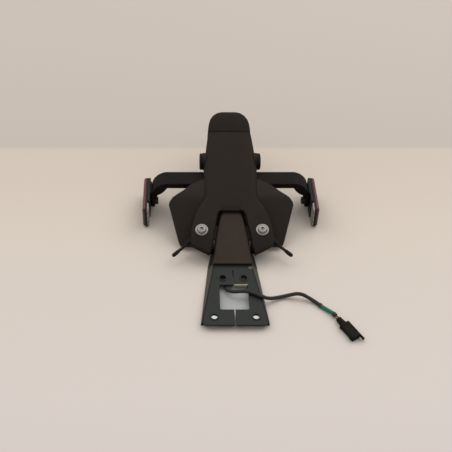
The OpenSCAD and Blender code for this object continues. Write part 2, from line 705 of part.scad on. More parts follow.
// Rib that joins the tongue to the upper leaf
module panel_gusset() {
    y0 = bracket_y - gusset_front;
    top0 = plate_h + (y0 - plate_len) * tan(arm_rise) + (panel_top_w - lap) / cos(arm_rise);
    rotate([90, 0, 90]) linear_extrude(gusset_w)
        polygon([[0, top0 - 1.6], [0, top0], [gusset_l, bracket_top + panel_t - 0.2], [gusset_l, bracket_top + 0.2],
                 [gusset_l / 2, bracket_top + 0.2]]);
}

// A flat strap that slants down between two bends at each end, with a flange
// below them and a lip along its front
bend_x = flange_x - bracket_bend_r - bracket_slope_l * cos(bracket_slope);
flange_top = bracket_top - bracket_bend_r - bracket_slope_l * sin(bracket_slope);
bend_steps = 6;
function bend_point(inset, turn) = let (second = turn > bracket_slope ? 1 : 0)
    [bend_x + second * bracket_slope_l * cos(bracket_slope) + (bracket_bend_r - inset) * sin(turn),
     bracket_top - bracket_bend_r - second * bracket_slope_l * sin(bracket_slope) + (bracket_bend_r - inset) * cos(turn)];
bend_turns = concat([for (i = [0 : bend_steps]) bracket_slope * i / bend_steps],
    [for (i = [0 : bend_steps]) mix(bracket_slope + 0.01, 90, i / bend_steps)]);
module bracket_profile() {
    n = len(bend_turns);
    translate([-bend_x, bracket_top - bracket_t]) square([2 * bend_x, bracket_t]);
    for (s = both) mirror([s < 0 ? 1 : 0, 0]) polygon(concat(
        [[bend_x - 1, bracket_top]], [for (i = [0 : n - 1]) bend_point(0, bend_turns[i])],
        [for (i = [n - 1 : -1 : 0]) bend_point(bracket_t, bend_turns[i])], [[bend_x - 1, bracket_top - bracket_t]]));
}

module bracket_flange(s) {
    x0 = s > 0 ? flange_x - bracket_t : -flange_x;
    corner = 4;
    translate([x0, 0, 0]) rotate([90, 0, 90]) linear_extrude(bracket_t) hull() {
        for (y = both) translate([flange_y + y * (flange_w / 2 - corner), flange_foot + corner]) circle(corner, $fn = 24);
        translate([bracket_y, flange_top]) square([bracket_w, 0.5]);
    }
}

// Block on the outside of each flange that the reflector's back plate seats on
spacer_w = 21;
spacer_h = 22;
module spacer_block(s) {
    translate([s > 0 ? flange_x - lap : -flange_x - spacer_t, flange_y - spacer_w / 2, flange_foot])
        cube([spacer_t + lap, spacer_w, spacer_h]);
}

module reflector_bracket() {
    color([0.15, 0.135, 0.115]) centred() difference() {
        union() {
            for (s = both) spacer_block(s);
            translate([0, bracket_y + bracket_w, 0]) rotate([90, 0, 0]) linear_extrude(bracket_w) bracket_profile();
            for (s = both) bracket_flange(s);
            // Stiffening lip on each side of the arm
            for (s = both) translate([s > 0 ? panel_notch : -bend_x, bracket_y, bracket_top - bracket_lip])
                cube([bend_x - panel_notch, 2, bracket_lip - lap]);
        }
        for (s = both) translate([s * bolt_span / 2, bolt_y, bracket_top - bracket_t - over])
            cylinder(d = bolt_d + bolt_clear, h = bracket_t + 2 * over);
        for (s = both) translate([s * flange_x, stud_y, stud_z]) rotate([0, 90, 0])
            cylinder(d = stud_d + bolt_clear, h = 4 * (bracket_t + spacer_t), center = true);
    }
}

bolt_head_h = 2.9;
module bracket_bolts() {
    color([0.35, 0.35, 0.36]) centred() for (s = both)
        translate([s * bolt_span / 2, bolt_y, bracket_top + panel_t])
            button_screw(bolt_d * 2, bolt_d * 1.75, bolt_head_h, bolt_d, panel_t + bracket_t + sheet_t + nut_h + 1);
}

module bracket_nuts() {
    color([0.5, 0.5, 0.48]) centred() for (s = both)
        translate([s * bolt_span / 2, bolt_y, seat_z - sheet_t]) hex_nut(bolt_d, nut_flats, nut_h);
}

// Outline of a reflector in side view, given its inset from the edge
module reflector_side(inset) {
    translate([reflector_y, reflector_h / 2]) rounded_plan(reflector_l - 2 * inset, reflector_h - 2 * inset, reflector_r - inset / 2);
}

// Places a side-view outline as a plate between two x values on one side
module side_plate(s, x0, t) {
    translate([s > 0 ? x0 : -x0 - t, 0, 0]) rotate([90, 0, 90]) linear_extrude(t) children();
}

// Domed lens: a rim as wide as the carrier, and a raised middle set in from it
lens_rim = 1;
dome_inset = 4.5;
module reflector_lens(s) {
    color([0.55, 0.04, 0.07]) centred() hull() {
        side_plate(s, lens_x, lens_rim) reflector_side(0);
        side_plate(s, lens_x + reflector_lens_t - lens_rim / 2, lens_rim / 2) reflector_side(dome_inset);
    }
}

module reflector_carrier(s) {
    color([0.09, 0.09, 0.09]) centred() {
        side_plate(s, carrier_x, carrier_t) reflector_side(0);
        translate([s * (carrier_x - stud_out / 2 + 0.5), stud_y, stud_z]) rotate([0, 90, 0])
            cylinder(d = stud_d, h = stud_out + 1, center = true);
    }
}

rib_pitch = 5;
module reflector_backing(s) {
    ribs = floor((reflector_l - 10) / rib_pitch / 2);
    color([0.72, 0.7, 0.66]) centred() difference() {
        side_plate(s, backing_x, backing_t) reflector_side(0.8);
        side_plate(s, backing_x - over, backing_t + 2 * over) translate([stud_y, stud_z]) circle(d = stud_d + bolt_clear);
        // Shallow grooves between the ribs
        for (i = [-ribs : ribs]) translate([s > 0 ? backing_x - 0.5 : -backing_x - 0.5, reflector_y + i * rib_pitch - 0.9, 3])
            cube([1, 1.8, reflector_h - 6]);
    }
}

module reflector_nuts() {
    color([0.4, 0.4, 0.4]) centred() for (s = both)
        translate([s * (flange_x - bracket_t), stud_y, stud_z]) rotate([0, s * 90, 0]) hex_nut(stud_d, stud_nut_flats, stud_nut_h);
}

// Rubber bush for an indicator stem: a neck in the cover's hole and an outer flange
pad_l = 4;
pad_x = cover_half(indicator_u - indicator_d / 2) + 0.3;
indicator_w = -4;
bush_neck_d = 13;
neck_fit = 0.15;
module indicator_bush(s) {
    color([0.06, 0.06, 0.06]) centred() on_slope() translate([s * pad_x, indicator_u, indicator_w])
        rotate([0, s * 90, 0]) difference() {
            union() {
                translate([0, 0, -pad_l - 1.5]) cylinder(d = bush_neck_d - 2 * neck_fit, h = pad_l + 2);
                cylinder(d = indicator_d, h = indicator_out - 1.4);
                translate([0, 0, indicator_out - 1.4]) cylinder(d1 = indicator_d, d2 = indicator_d - 2.8, h = 1.4);
            }
            translate([0, 0, -pad_l - 3]) cylinder(d = indicator_bore, h = pad_l + indicator_out + 6);
        }
}

// Frame of a peg: its z runs outwards and forwards from the prong's corner, nearly level
peg_u = 27.4;
peg_w = 0;
peg_out_angle = 47;
peg_lift = 3;
peg_socket_d = 7;
peg_fit = 0.15;
module peg_frame(s) {
    translate([s * (cover_half(peg_u) + 2.2), peg_u, peg_w]) rotate([0, 0, s > 0 ? -(90 - peg_out_angle) : 180 + (90 - peg_out_angle)])
        rotate([0, 90 - peg_lift, 0]) children();
}

module locating_peg(s) {
    color([0.05, 0.05, 0.05]) centred() on_slope() peg_frame(s) {
        translate([0, 0, -4.6]) cylinder(d = peg_d, h = peg_len + 4.6 - peg_d / 2);
        translate([0, 0, 0.02]) cylinder(d = peg_socket_d - 1, h = 1.4);
        translate([0, 0, peg_len - peg_d / 2]) sphere(d = peg_d + 0.5);
    }
}

// Blind rivet in the rear corner of the plate, in front of the arm cover
rivet_d = 3;
rivet_head_d = 4.6;
rivet_x = plate_rear_w / 2 - 2.4;
rivet_y = plate_len - 2.6;
module arm_rivet() {
    color([0.75, 0.75, 0.73]) centred() translate([rivet_x, rivet_y, plate_h]) {
        cylinder(d1 = rivet_head_d, d2 = rivet_head_d * 0.7, h = 0.9);
        translate([0, 0, -sheet_t - 1]) cylinder(d = rivet_d, h = sheet_t + 1.2);
    }
}

// Clip under the plate, just behind the window, that the lead comes out of
lead_x = -8.5;
clip_y = window_setback + window_l + 4;
clip_l = 8;
lead_z = lead_d / 2 + 0.2;
module lead_clip() {
    color([0.07, 0.07, 0.07]) centred() difference() {
        translate([lead_x - 5, clip_y, 0]) cube([10, clip_l, plate_h - sheet_t]);
        translate([lead_x, clip_y - over, lead_z]) rotate([-90, 0, 0]) cylinder(d = lead_d, h = clip_l + 2 * over);
        translate([lead_x - lead_d / 2 + 0.3, clip_y - over, -over]) cube([lead_d - 0.6, clip_l + 2 * over, lead_z + over]);
    }
}

// A tube swept along points: rings of a regular polygon square to the path
tube_sides = 8;
function unit(v) = v / norm(v);
function path_dir(path, i) = unit(path[min(i + 1, len(path) - 1)] - path[max(i - 1, 0)]);
module tube(path, d) {
    n = len(path);
    points = [for (i = [0 : n - 1]) let (t = path_dir(path, i),
        side = unit(cross(t, abs(t[2]) > 0.9 ? [0, 1, 0] : [0, 0, 1])), up = cross(side, t))
        for (k = [0 : tube_sides - 1]) let (a = 360 * k / tube_sides)
            path[i] + d / 2 * (cos(a) * side + sin(a) * up)];
    sides = [for (i = [0 : n - 2]) for (k = [0 : tube_sides - 1]) let (a = i * tube_sides + k,
        b = i * tube_sides + (k + 1) % tube_sides)
        each [[a, b, b + tube_sides], [a, b + tube_sides, a + tube_sides]]];
    caps = [[for (k = [tube_sides - 1 : -1 : 0]) k], [for (k = [0 : tube_sides - 1]) (n - 1) * tube_sides + k]];
    polyhedron(points, concat(sides, caps), convexity = 10);
}

// The lead inside the arm, from the clip up to the lamp board
module lamp_lead() {
    inner_d = lead_d - 0.6;
    run_w = -sheet_t - inner_d / 2 - 0.8;
    up = [for (u = [14, 34, 54, 74, 90]) [lead_x * (1 - u / rise_len), plate_len + u * cos(arm_rise) - run_w * sin(arm_rise),
          plate_h + u * sin(arm_rise) + run_w * cos(arm_rise)]];
    under_z = seat_z - sheet_t - inner_d / 2 - 0.8;
    rear = [for (y = [seat_y + 12, seat_y + 30, seat_y + seat_len + 2]) [0, y, under_z]];
    board = [for (u = [seam_u - 16, seam_u - 6, lamp_u - lens_l / 2 + 3]) [0,
          plate_len + u * cos(arm_rise) - (board_z + 4) * sin(arm_rise),
          plate_h + u * sin(arm_rise) + (board_z + board_t + inner_d / 2 + 0.1) * cos(arm_rise)]];
    color([0.07, 0.07, 0.07]) centred()
        tube(concat([[lead_x, lead_points[0][1] + mid_y, lead_z], [lead_x, plate_len - 12, lead_z],
                     [lead_x, plate_len + 1, lead_z]], up, rear, board), inner_d);
}

// The free lead: points chosen along its route, then its sleeve, boot and connector
lead_points = [[-8.5, -80, 2.2], [-8.5, -86, 2.2], [-7.5, -90.9, 3.2], [-4.6, -95.3, 5.2],
               [0.2, -98.5, 7.6], [6.6, -99.4, 9.2], [12.6, -99.5, 9.4], [18.5, -101.2, 9.4],
               [24.5, -104.1, 9.4], [30, -107, 9.3], [34.5, -107.5, 7.8], [39.6, -105.8, 5.2],
               [45.7, -103.3, 3.4], [52.8, -101, 2.8], [59.7, -100.1, 4], [65.7, -100.3, 6],
               [70.1, -101, 6.8], [74.6, -102, 6], [79.7, -104.1, 4.2], [84.2, -106.8, 3],
               [87.9, -109.9, 2.6], [90.1, -112.1, 2.6]];
sleeve_points = [[90.1, -112.1, 2.6], [92.3, -114.3, 2.6], [96, -117.8, 2.6], [100, -121.3, 2.8],
                 [102.8, -124, 3.1], [104.5, -126.4, 3.2], [105.5, -128.13, 3.2]];
sleeve_d = 4;
module connector_lead() {
    color([0.14, 0.12, 0.11]) tube(lead_points, lead_d);
}

module green_sleeve() {
    color([0.1, 0.42, 0.27]) tube(sleeve_points, sleeve_d);
}

// Frame of the connector: its y runs along the lead away from the sleeve
plug_at = [105.5, -128.13, 3.2];
plug_turn = -60;
plug_w = 10;
plug_h = 6.2;
plug_l = 21;
boot_l = 13;
boot_w = 4.6;
module plug_frame() {
    translate(plug_at) rotate([0, 0, plug_turn - 90]) children();
}

module connector_boot() {
    color([0.07, 0.06, 0.06]) plug_frame() hull() {
        translate([-boot_w / 2, 0, -2.3]) cube([boot_w, 5, 4.6]);
        translate([-plug_w / 2 + 1.2, boot_l - 1, -2.6]) cube([plug_w - 2.4, 1, 5.2]);
    }
}

latch_x = 5.4;
latch_t = 1.3;
latch_w = 3.4;
pin_pitch = 4.2;
module connector_housing() {
    color([0.09, 0.07, 0.065]) plug_frame() translate([0, boot_l, 0]) difference() {
        union() {
            translate([-plug_w / 2, 0, -plug_h / 2]) cube([plug_w, plug_l, plug_h]);
            // Latch arm beside the body, its root, and the hook at its tip
            translate([latch_x, -0.6, -latch_w / 2]) cube([latch_t, plug_l + 6, latch_w]);
            translate([plug_w / 2 - 0.6, -0.6, -latch_w / 2]) cube([latch_x + latch_t - plug_w / 2, 3.4, latch_w]);
            translate([latch_x - 0.8, plug_l + 4.4, -latch_w / 2]) cube([latch_t + 0.8, 1, latch_w]);
        }
        for (s = both) translate([s * pin_pitch / 2 - 1.4, 3, -1.6]) cube([2.8, plug_l, 3.2]);
    }
}

module connector_terminals() {
    color([0.72, 0.58, 0.3]) plug_frame() translate([0, boot_l, 0]) for (s = both)
        translate([s * pin_pitch / 2 - 0.9, 3, -0.5]) cube([1.8, plug_l - 5, 1]);
}

mounting_arm();
mount_bushes();
arm_cover();
top_cover();
lamp_cap();
lamp_lens();
lamp_gasket();
lamp_board();
lamp_leds();
cap_screws();
cover_screws();
cover_nuts();
hump_screws();
plate_panel();
reflector_bracket();
bracket_bolts();
bracket_nuts();
reflector_lens(-1);  // left_reflector_lens
reflector_lens(1);  // right_reflector_lens
reflector_carrier(-1);  // left_reflector_carrier
reflector_carrier(1);  // right_reflector_carrier
reflector_backing(-1);  // left_reflector_backing
reflector_backing(1);  // right_reflector_backing
reflector_nuts();
indicator_bush(-1);  // left_indicator_bush
indicator_bush(1);  // right_indicator_bush
locating_peg(-1);  // left_locating_peg
locating_peg(1);  // right_locating_peg
arm_rivet();
lead_clip();
lamp_lead();
connector_lead();
green_sleeve();
connector_boot();
connector_housing();
connector_terminals();
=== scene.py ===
"""A motorbike's tail tidy: a folded steel arm with moulded covers, a number plate
panel, a cross bracket with side reflectors, a lamp cap and the lamp's lead."""
import math

import bmesh
import bpy
import numpy as np
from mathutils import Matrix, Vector


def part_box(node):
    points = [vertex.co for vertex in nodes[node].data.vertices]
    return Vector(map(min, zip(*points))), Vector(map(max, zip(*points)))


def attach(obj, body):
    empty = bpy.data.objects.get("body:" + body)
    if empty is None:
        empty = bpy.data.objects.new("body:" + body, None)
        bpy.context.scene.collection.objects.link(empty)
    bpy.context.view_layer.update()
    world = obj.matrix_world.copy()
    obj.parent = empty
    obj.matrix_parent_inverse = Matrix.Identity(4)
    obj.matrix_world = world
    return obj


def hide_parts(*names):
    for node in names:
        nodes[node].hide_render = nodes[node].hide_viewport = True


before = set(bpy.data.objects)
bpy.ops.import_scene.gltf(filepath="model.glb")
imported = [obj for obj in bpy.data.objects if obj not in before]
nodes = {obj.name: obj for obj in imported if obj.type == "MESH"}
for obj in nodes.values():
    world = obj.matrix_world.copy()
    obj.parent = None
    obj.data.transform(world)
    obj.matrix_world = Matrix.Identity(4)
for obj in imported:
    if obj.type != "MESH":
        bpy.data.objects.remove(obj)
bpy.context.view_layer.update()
MM = 0.001


# The view: a camera on a tall stand at the mounting end, looking down along the part.
# The photograph is cut from a wider one, so the lens axis lies left of its middle.
CAMERA_AT = (-0.0461, -0.65019, 0.63909)
LOOK = (0, 0.71934, -0.69466)
LENS_MM = 62.1
SENSOR_MM = 36.0
SHIFT_RIGHT = 0.0774
SHIFT_UP = -0.0013
camera = bpy.data.objects.new("camera", bpy.data.cameras.new("camera"))
camera.data.lens = LENS_MM
camera.data.sensor_width = SENSOR_MM
camera.data.shift_x = SHIFT_RIGHT
camera.data.shift_y = SHIFT_UP
camera.location = CAMERA_AT
camera.rotation_mode = "QUATERNION"
camera.rotation_quaternion = Vector(LOOK).to_track_quat("-Z", "Y")
bpy.context.scene.collection.objects.link(camera)
bpy.context.scene.camera = camera


# The lead: a soft black jacket round two cores that comes out of the clip under the
# mounting plate, passes up through the window, and lies on the table to the right.
# Its route repeats the points of the part's source.
LEAD_D = 4 * MM
LEAD_POINTS = np.array([
    (-8.5, -80, 2.2), (-8.5, -86, 2.2), (-7.5, -90.9, 3.2), (-4.6, -95.3, 5.2), (0.2, -98.5, 7.6),
    (6.6, -99.4, 9.2), (12.6, -99.5, 9.4), (18.5, -101.2, 9.4), (24.5, -104.1, 9.4), (30, -107, 9.3),
    (34.5, -107.5, 7.8), (39.6, -105.8, 5.2), (45.7, -103.3, 3.4), (52.8, -101, 2.8), (59.7, -100.1, 4),
    (65.7, -100.3, 6), (70.1, -101, 6.8), (74.6, -102, 6), (79.7, -104.1, 4.2), (84.2, -106.8, 3),
    (87.9, -109.9, 2.6), (90.1, -112.1, 2.6)]) * MM
SLEEVE_D = 4 * MM
SLEEVE_POINTS = np.array([
    (90.1, -112.1, 2.6), (92.3, -114.3, 2.6), (96, -117.8, 2.6), (100, -121.3, 2.8),
    (102.8, -124, 3.1), (104.5, -126.4, 3.2), (105.5, -128.13, 3.2)]) * MM


class Wire:
    """A value in a finish's node tree. Arithmetic on wires adds the Math nodes."""

    def __init__(self, socket):
        self.socket = socket

    def math(self, operation, *values, clamp=False):
        tree = self.socket.id_data
        node = tree.nodes.new("ShaderNodeMath")
        node.operation = operation
        node.use_clamp = clamp
        for slot, value in zip(node.inputs, values):
            connect(tree, slot, value)
        return Wire(node.outputs[0])

    def __add__(self, other):
        return self.math("ADD", self, other)

    def __radd__(self, other):
        return self.math("ADD", other, self)

    def __sub__(self, other):
        return self.math("SUBTRACT", self, other)

    def __rsub__(self, other):
        return self.math("SUBTRACT", other, self)

    def __mul__(self, other):
        return self.math("MULTIPLY", self, other)

    def __pow__(self, other):
        return self.math("POWER", self, other)

    def __abs__(self):
        return self.math("ABSOLUTE", self)

    def sin(self):
        return self.math("SINE", self)

    def step(self, edge, width):
        """0 below edge, 1 above it, with a soft change that is width wide."""
        return self.math("MULTIPLY", self.math("SUBTRACT", self, edge - width / 2), 1 / width, clamp=True)


def connect(tree, slot, value):
    """Links a wire to a socket, or sets the socket to a plain value."""
    if isinstance(value, Wire):
        tree.links.new(value.socket, slot)
    elif hasattr(value, "__len__") and slot.type == "RGBA" and len(value) == 3:
        slot.default_value = (*value, 1.0)
    else:
        slot.default_value = value


class Finish:
    """A material made of nodes that end in one Principled shader."""

    def __init__(self, name, **surface):
        self.material = bpy.data.materials.new(name)
        self.material.use_nodes = True
        self.tree = self.material.node_tree
        self.tree.nodes.clear()
        shader = self.tree.nodes.new("ShaderNodeBsdfPrincipled")
        end = self.tree.nodes.new("ShaderNodeOutputMaterial")
        self.tree.links.new(shader.outputs[0], end.inputs[0])
        self.shader = shader
        self.coords = self.node("ShaderNodeTexCoord", output="Object")
        self.set(**surface)

    def set(self, **surface):
        for name, value in surface.items():
            connect(self.tree, self.shader.inputs[name.replace("_", " ")], value)

    def node(self, kind, settings=None, values=None, output=0):
        """Adds a node of that kind, sets its settings, then its sockets, and gives one output."""
        node = self.tree.nodes.new(kind)
        for name, value in (settings or {}).items():
            setattr(node, name, value)
        for name, value in (values or {}).items():
            connect(self.tree, node.inputs[name], value)
        return Wire(node.outputs[output])

    def noise(self, size_mm, detail=2.0, roughness=0.5):
        """Soft noise from 0 to 1 whose features are about size_mm across."""
        return self.node("ShaderNodeTexNoise", values={
            "Vector": self.coords, "Scale": 1 / (size_mm * MM), "Detail": detail, "Roughness": roughness})

    def cells(self, size_mm):
        """Distance to the nearest middle of an even grid of cells that are size_mm across."""
        return self.node("ShaderNodeTexVoronoi", values={
            "Vector": self.coords, "Scale": 1 / (size_mm * MM), "Randomness": 0.0}, output="Distance")

    def between(self, mask, low, high):
        """A colour that goes from low to high with the mask."""
        return self.node("ShaderNodeMix", {"data_type": "RGBA"}, {0: mask, 6: low, 7: high}, output=2)

    def paint(self, mask, colour):
        """Paints a colour over the finish's own where the mask is 1."""
        own = Wire(self.shader.inputs["Base Color"].links[0].from_socket)
        self.set(Base_Color=self.between(mask, own, colour))

    def relief(self, height, depth_mm):
        """Bumps the surface by a height from 0 to 1."""
        self.set(Normal=self.node("ShaderNodeBump", values={"Height": height, "Distance": depth_mm * MM}))

    def axis(self, which, coords=None):
        """One component of the place on the object, in metres, or of the given coordinates."""
        split = self.tree.nodes.new("ShaderNodeSeparateXYZ")
        connect(self.tree, split.inputs[0], coords or self.coords)
        return Wire(split.outputs[which])


def moulded(name, colour, grain_mm=0.5, roughness=0.62, grain_depth=0.02, tone=0.14, gloss=0.2):
    """Moulded plastic: a fine spark grain, faint flow marks, and handling marks that are a little
    duller. Its tone is the share by which the flow makes the colour lighter or darker."""
    finish = Finish(name, Specular_IOR_Level=gloss)
    grain = finish.noise(grain_mm, 3.0, 0.6)
    flow = finish.noise(28, 2.0, 0.5)
    marks = finish.noise(9, 4.0, 0.65).step(0.6, 0.12)
    light = [c * (1 + tone) + 0.0015 for c in colour]
    dark = [c * (1 - tone) for c in colour]
    finish.set(Base_Color=finish.between(flow * 0.7 + grain * 0.3, dark, light),
               Roughness=roughness - 0.06 + grain * 0.08 + marks * 0.05)
    finish.relief(grain + flow * 0.3, grain_depth)
    return finish


def smooth_path(points, per_span=6):
    """A curve through the points: on each span the cubic whose ends have the slopes of the chords
    beside them."""
    ends = np.vstack([2 * points[0] - points[1], points, 2 * points[-1] - points[-2]])
    a, b, c, d = (p[:, None, :] for p in (ends[:-3], ends[1:-2], ends[2:-1], ends[3:]))
    t = (np.arange(per_span) / per_span)[None, :, None]
    square, cube = 2 * a - 5 * b + 4 * c - d, 3 * b - a - 3 * c + d
    curve = 0.5 * (2 * b + (c - a) * t + square * t ** 2 + cube * t ** 3)
    return np.vstack([curve.reshape(-1, 3), points[-1:]])


def path_frames(path):
    """The direction of the path at each point, and two directions square to it, the first one level."""
    along = np.gradient(path, axis=0)
    along /= np.linalg.norm(along, axis=1, keepdims=True)
    side = np.cross(along, (0, 0, 1))
    side /= np.linalg.norm(side, axis=1, keepdims=True)
    return along, side, np.cross(side, along)


def shell(name, grids, finish, replaces=(), ring=False, uv=None):
    """A piece made of grids of points. Each grid closes round its columns. Its first and last rows
    are closed by one face each, or joined to each other where ring is set."""
    points, faces, start = [], [], 0
    for grid in grids:
        rows, cols, _ = grid.shape
        r = np.arange(rows if ring else rows - 1)[:, None]
        c = np.arange(cols)[None, :]
        r2, c2 = (r + 1) % rows, (c + 1) % cols
        quads = np.stack([r * cols + c, r * cols + c2, r2 * cols + c2, r2 * cols + c], -1)
        faces += (quads.reshape(-1, 4) + start).tolist()
        if not ring:
            first = np.arange(cols) + start
            faces += [first[::-1].tolist(), (first + (rows - 1) * cols).tolist()]
        points.append(grid.reshape(-1, 3))
        start += rows * cols
    mesh = bpy.data.meshes.new(name)
    mesh.from_pydata(np.vstack(points).tolist(), [], faces)
    if uv is not None:
        layer = mesh.uv_layers.new(name="along")
        loops = np.empty(len(mesh.loops), np.int32)
        mesh.loops.foreach_get("vertex_index", loops)
        layer.data.foreach_set("uv", uv.reshape(-1, 2)[loops].astype(np.float32).ravel())
    return piece(name, mesh, finish, replaces)


SHARP_FROM = math.radians(38)


def piece(name, mesh, finish, replaces=()):
    """Turns every face outwards and puts the mesh into the scene as a piece of the part."""
    work = bmesh.new()
    work.from_mesh(mesh)
    bmesh.ops.remove_doubles(work, verts=work.verts, dist=0.001 * MM)
    bmesh.ops.recalc_face_normals(work, faces=work.faces)
    work.to_mesh(mesh)
    work.free()
    mesh.polygons.foreach_set("use_smooth", np.ones(len(mesh.polygons), bool))
    mesh.set_sharp_from_angle(angle=SHARP_FROM)
    mesh.materials.append(finish.material)
    made = bpy.data.objects.new(name, mesh)
    bpy.context.scene.collection.objects.link(made)
    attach(made, "root")
    if replaces:
        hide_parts(*replaces)
    return made


def tube_grid(path, radii, sides=20):
    """Rings of points round a path: at each point, radius times the cosine and sine of the turn
    along the two directions square to it."""
    _, side, up = path_frames(path)
    turn = np.linspace(0, 2 * np.pi, sides, endpoint=False)
    ring = np.cos(turn)[None, :, None] * side[:, None, :] - np.sin(turn)[None, :, None] * up[:, None, :]
    return path[:, None, :] + np.broadcast_to(radii, len(path))[:, None, None] * ring


def reach_along(path):
    """Distance along the path from its start to each point."""
    return np.concatenate([[0], np.cumsum(np.linalg.norm(np.diff(path, axis=0), axis=1))])


def tube(name, path, radii, finish, replaces=(), sides=20):
    """A round tube along the path. Its UV map gives the distance along it and the share of the turn
    round it."""
    uv = np.stack(np.broadcast_arrays(reach_along(path)[:, None], np.arange(sides)[None, :] / sides), -1)
    return shell(name, [tube_grid(path, radii, sides)], finish, replaces, uv=uv)


SLEEVE_T = 0.5 * MM
jacket = moulded("lead jacket", (0.020, 0.017, 0.014), 0.35, 0.6, 0.015, gloss=0.25)
lead_path = smooth_path(np.vstack([LEAD_POINTS, SLEEVE_POINTS[1:]]))
free_length = len(smooth_path(LEAD_POINTS))
in_sleeve = np.arange(len(lead_path)) >= free_length
lead_radii = np.where(in_sleeve, LEAD_D / 2 - SLEEVE_T, LEAD_D / 2)
lead = tube("connector_lead_jacket", lead_path, lead_radii, jacket, ["connector_lead"])


# The green sleeve over the lead's last stretch: woven from fine strands that cross at a slant,
# pushed over the cores and held at both ends by short shrunk tubes.
def woven(name, colour):
    """Strands in two slants, worked out from the distance along the sleeve and the turn round it."""
    finish = Finish(name, Roughness=0.6, Specular_IOR_Level=0.3)
    uv = finish.node("ShaderNodeUVMap", {"uv_map": "along"})
    along, around = finish.axis(0, uv), finish.axis(1, uv)
    strand_pitch, strands_round = 1.3 * MM, 8
    forward = along * (2 * math.pi / strand_pitch)
    turned = around * (2 * math.pi * strands_round)
    one, other = (forward + turned).sin(), (forward - turned).sin()
    weave = (one * other) * 0.5 + 0.5
    soil = finish.noise(5, 3.0)
    worn = finish.between(soil, [c * 0.8 for c in colour], [min(1, c * 1.15) for c in colour])
    finish.set(Base_Color=finish.between(weave, [c * 0.55 for c in colour], worn))
    finish.relief(weave, 0.12)
    return finish


green = woven("green sleeve", (0.012, 0.165, 0.085))
sleeve_path = smooth_path(SLEEVE_POINTS)
sleeve = tube("green_sleeve_braid", sleeve_path, SLEEVE_D / 2, green, ["green_sleeve"])


# Short black tubes shrunk over the sleeve's two ends, where the jacket stops and the cores come out.
SHRINK_D, SHRINK_L, SHRINK_LIP = 4.9 * MM, 4 * MM, 0.5 * MM
LIP_REACH = 0.6 * MM
shrink = moulded("shrunk tube", (0.012, 0.011, 0.010), 0.8, 0.5, 0.03, gloss=0.35)
sleeve_reach = reach_along(sleeve_path)


def shrunk_tube(path, reach, start, end):
    """A tube over part of a path whose ends close down by a quarter of an ellipse."""
    stations = np.linspace(start, end, 15)
    on_path = np.stack([np.interp(stations, reach, path[:, k]) for k in range(3)], -1)
    from_end = np.minimum(stations - start, end - stations)
    lip = np.sqrt(1 - (1 - np.clip(from_end / LIP_REACH, 0, 1)) ** 2)
    return tube_grid(on_path, SHRINK_D / 2 - SHRINK_LIP + SHRINK_LIP * lip)


first_end = shrunk_tube(sleeve_path, sleeve_reach, 0, SHRINK_L * 0.8)
last_end = shrunk_tube(sleeve_path, sleeve_reach, sleeve_reach[-1] - SHRINK_L, sleeve_reach[-1])
shrunk = shell("sleeve_shrunk_ends", [first_end, last_end], shrink)


# The connector: a two way housing of black nylon. Two bare cores run from the sleeve into its
# neck, which is ribbed for grip. A sprung latch arm stands along one side of the body.
PLUG_AT = np.array([105.5, -128.13, 3.2]) * MM
PLUG_TURN = math.radians(-60)
PLUG_ALONG = np.array([math.cos(PLUG_TURN), math.sin(PLUG_TURN), 0])
PLUG_SIDE = np.array([-math.sin(PLUG_TURN), math.cos(PLUG_TURN), 0])
PLUG_UP = np.array([0, 0, 1.0])
CORES_L, NECK_END, PLUG_END = 4.6, 13.4, 34.0


def on_plug(side, along, up):
    """Points of the connector from millimetres beside, along and above its axis."""
    side, along, up = np.broadcast_arrays(side, along, up)
    offset = side[..., None] * PLUG_SIDE + along[..., None] * PLUG_ALONG + up[..., None] * PLUG_UP
    return PLUG_AT + MM * offset


def block(stations, widths, heights, sides=24, power=5.0, centre=0.0):
    """A form along the connector whose section is a superellipse: the cosine and sine of the turn,
    each raised to 2 / power with its sign, times half the width and half the height."""
    turn = np.linspace(0, 2 * np.pi, sides, endpoint=False)
    c, s = np.cos(turn), np.sin(turn)
    across, high = np.sign(c) * np.abs(c) ** (2 / power), np.sign(s) * np.abs(s) ** (2 / power)
    stations, widths, heights = (np.array(v, float)[:, None] for v in (stations, widths, heights))
    return on_plug(centre + across * widths / 2, stations, high * heights / 2)


CORE_D = 1.5 * MM
CORE_OUT, CORE_ALONG = np.array([0.55, 1.0, 1.35, 1.5]), np.array([-1.5, 1.0, 3.6, 6.0])
core_red = moulded("core jacket", (0.14, 0.030, 0.022), 0.6, 0.5, 0.01, gloss=0.3)
core_paths = [smooth_path(on_plug(side * CORE_OUT, CORE_ALONG, 0.0)) for side in (-1, 1)]
cores = shell("connector_cores", [tube_grid(p, CORE_D / 2, 14) for p in core_paths], core_red)
nylon = moulded("connector nylon", (0.0058, 0.0050, 0.0036), 0.7, 0.55, 0.015, gloss=0.07)
RIB_H, RIB_PITCH = 0.28, 2.1
neck_at = np.linspace(CORES_L, NECK_END, 37)
ribs = RIB_H * np.clip(np.sin((neck_at - CORES_L) * 2 * np.pi / RIB_PITCH), -0.2, 1)
taper = np.clip((neck_at - CORES_L) / (NECK_END - CORES_L), 0, 1)
neck_grid = block(neck_at, 5.4 + 1.6 * taper + ribs, 4.8 + 0.6 * taper + ribs, power=3.5)
neck = shell("connector_neck", [neck_grid], nylon, ["connector_boot"])
BODY_STATIONS = [13.0, 13.1, 13.5, 15.6, 15.9, 16.4, 28.4, 28.8, 29.4, 33.5, 33.9, PLUG_END]
BODY_W = [9.0, 9.8, 10.4, 10.4, 10.0, 9.6, 9.6, 10.0, 10.3, 10.3, 10.0, 9.4]
BODY_H = [5.0, 5.8, 6.2, 6.2, 5.9, 5.6, 5.6, 5.9, 6.2, 6.2, 5.9, 5.4]
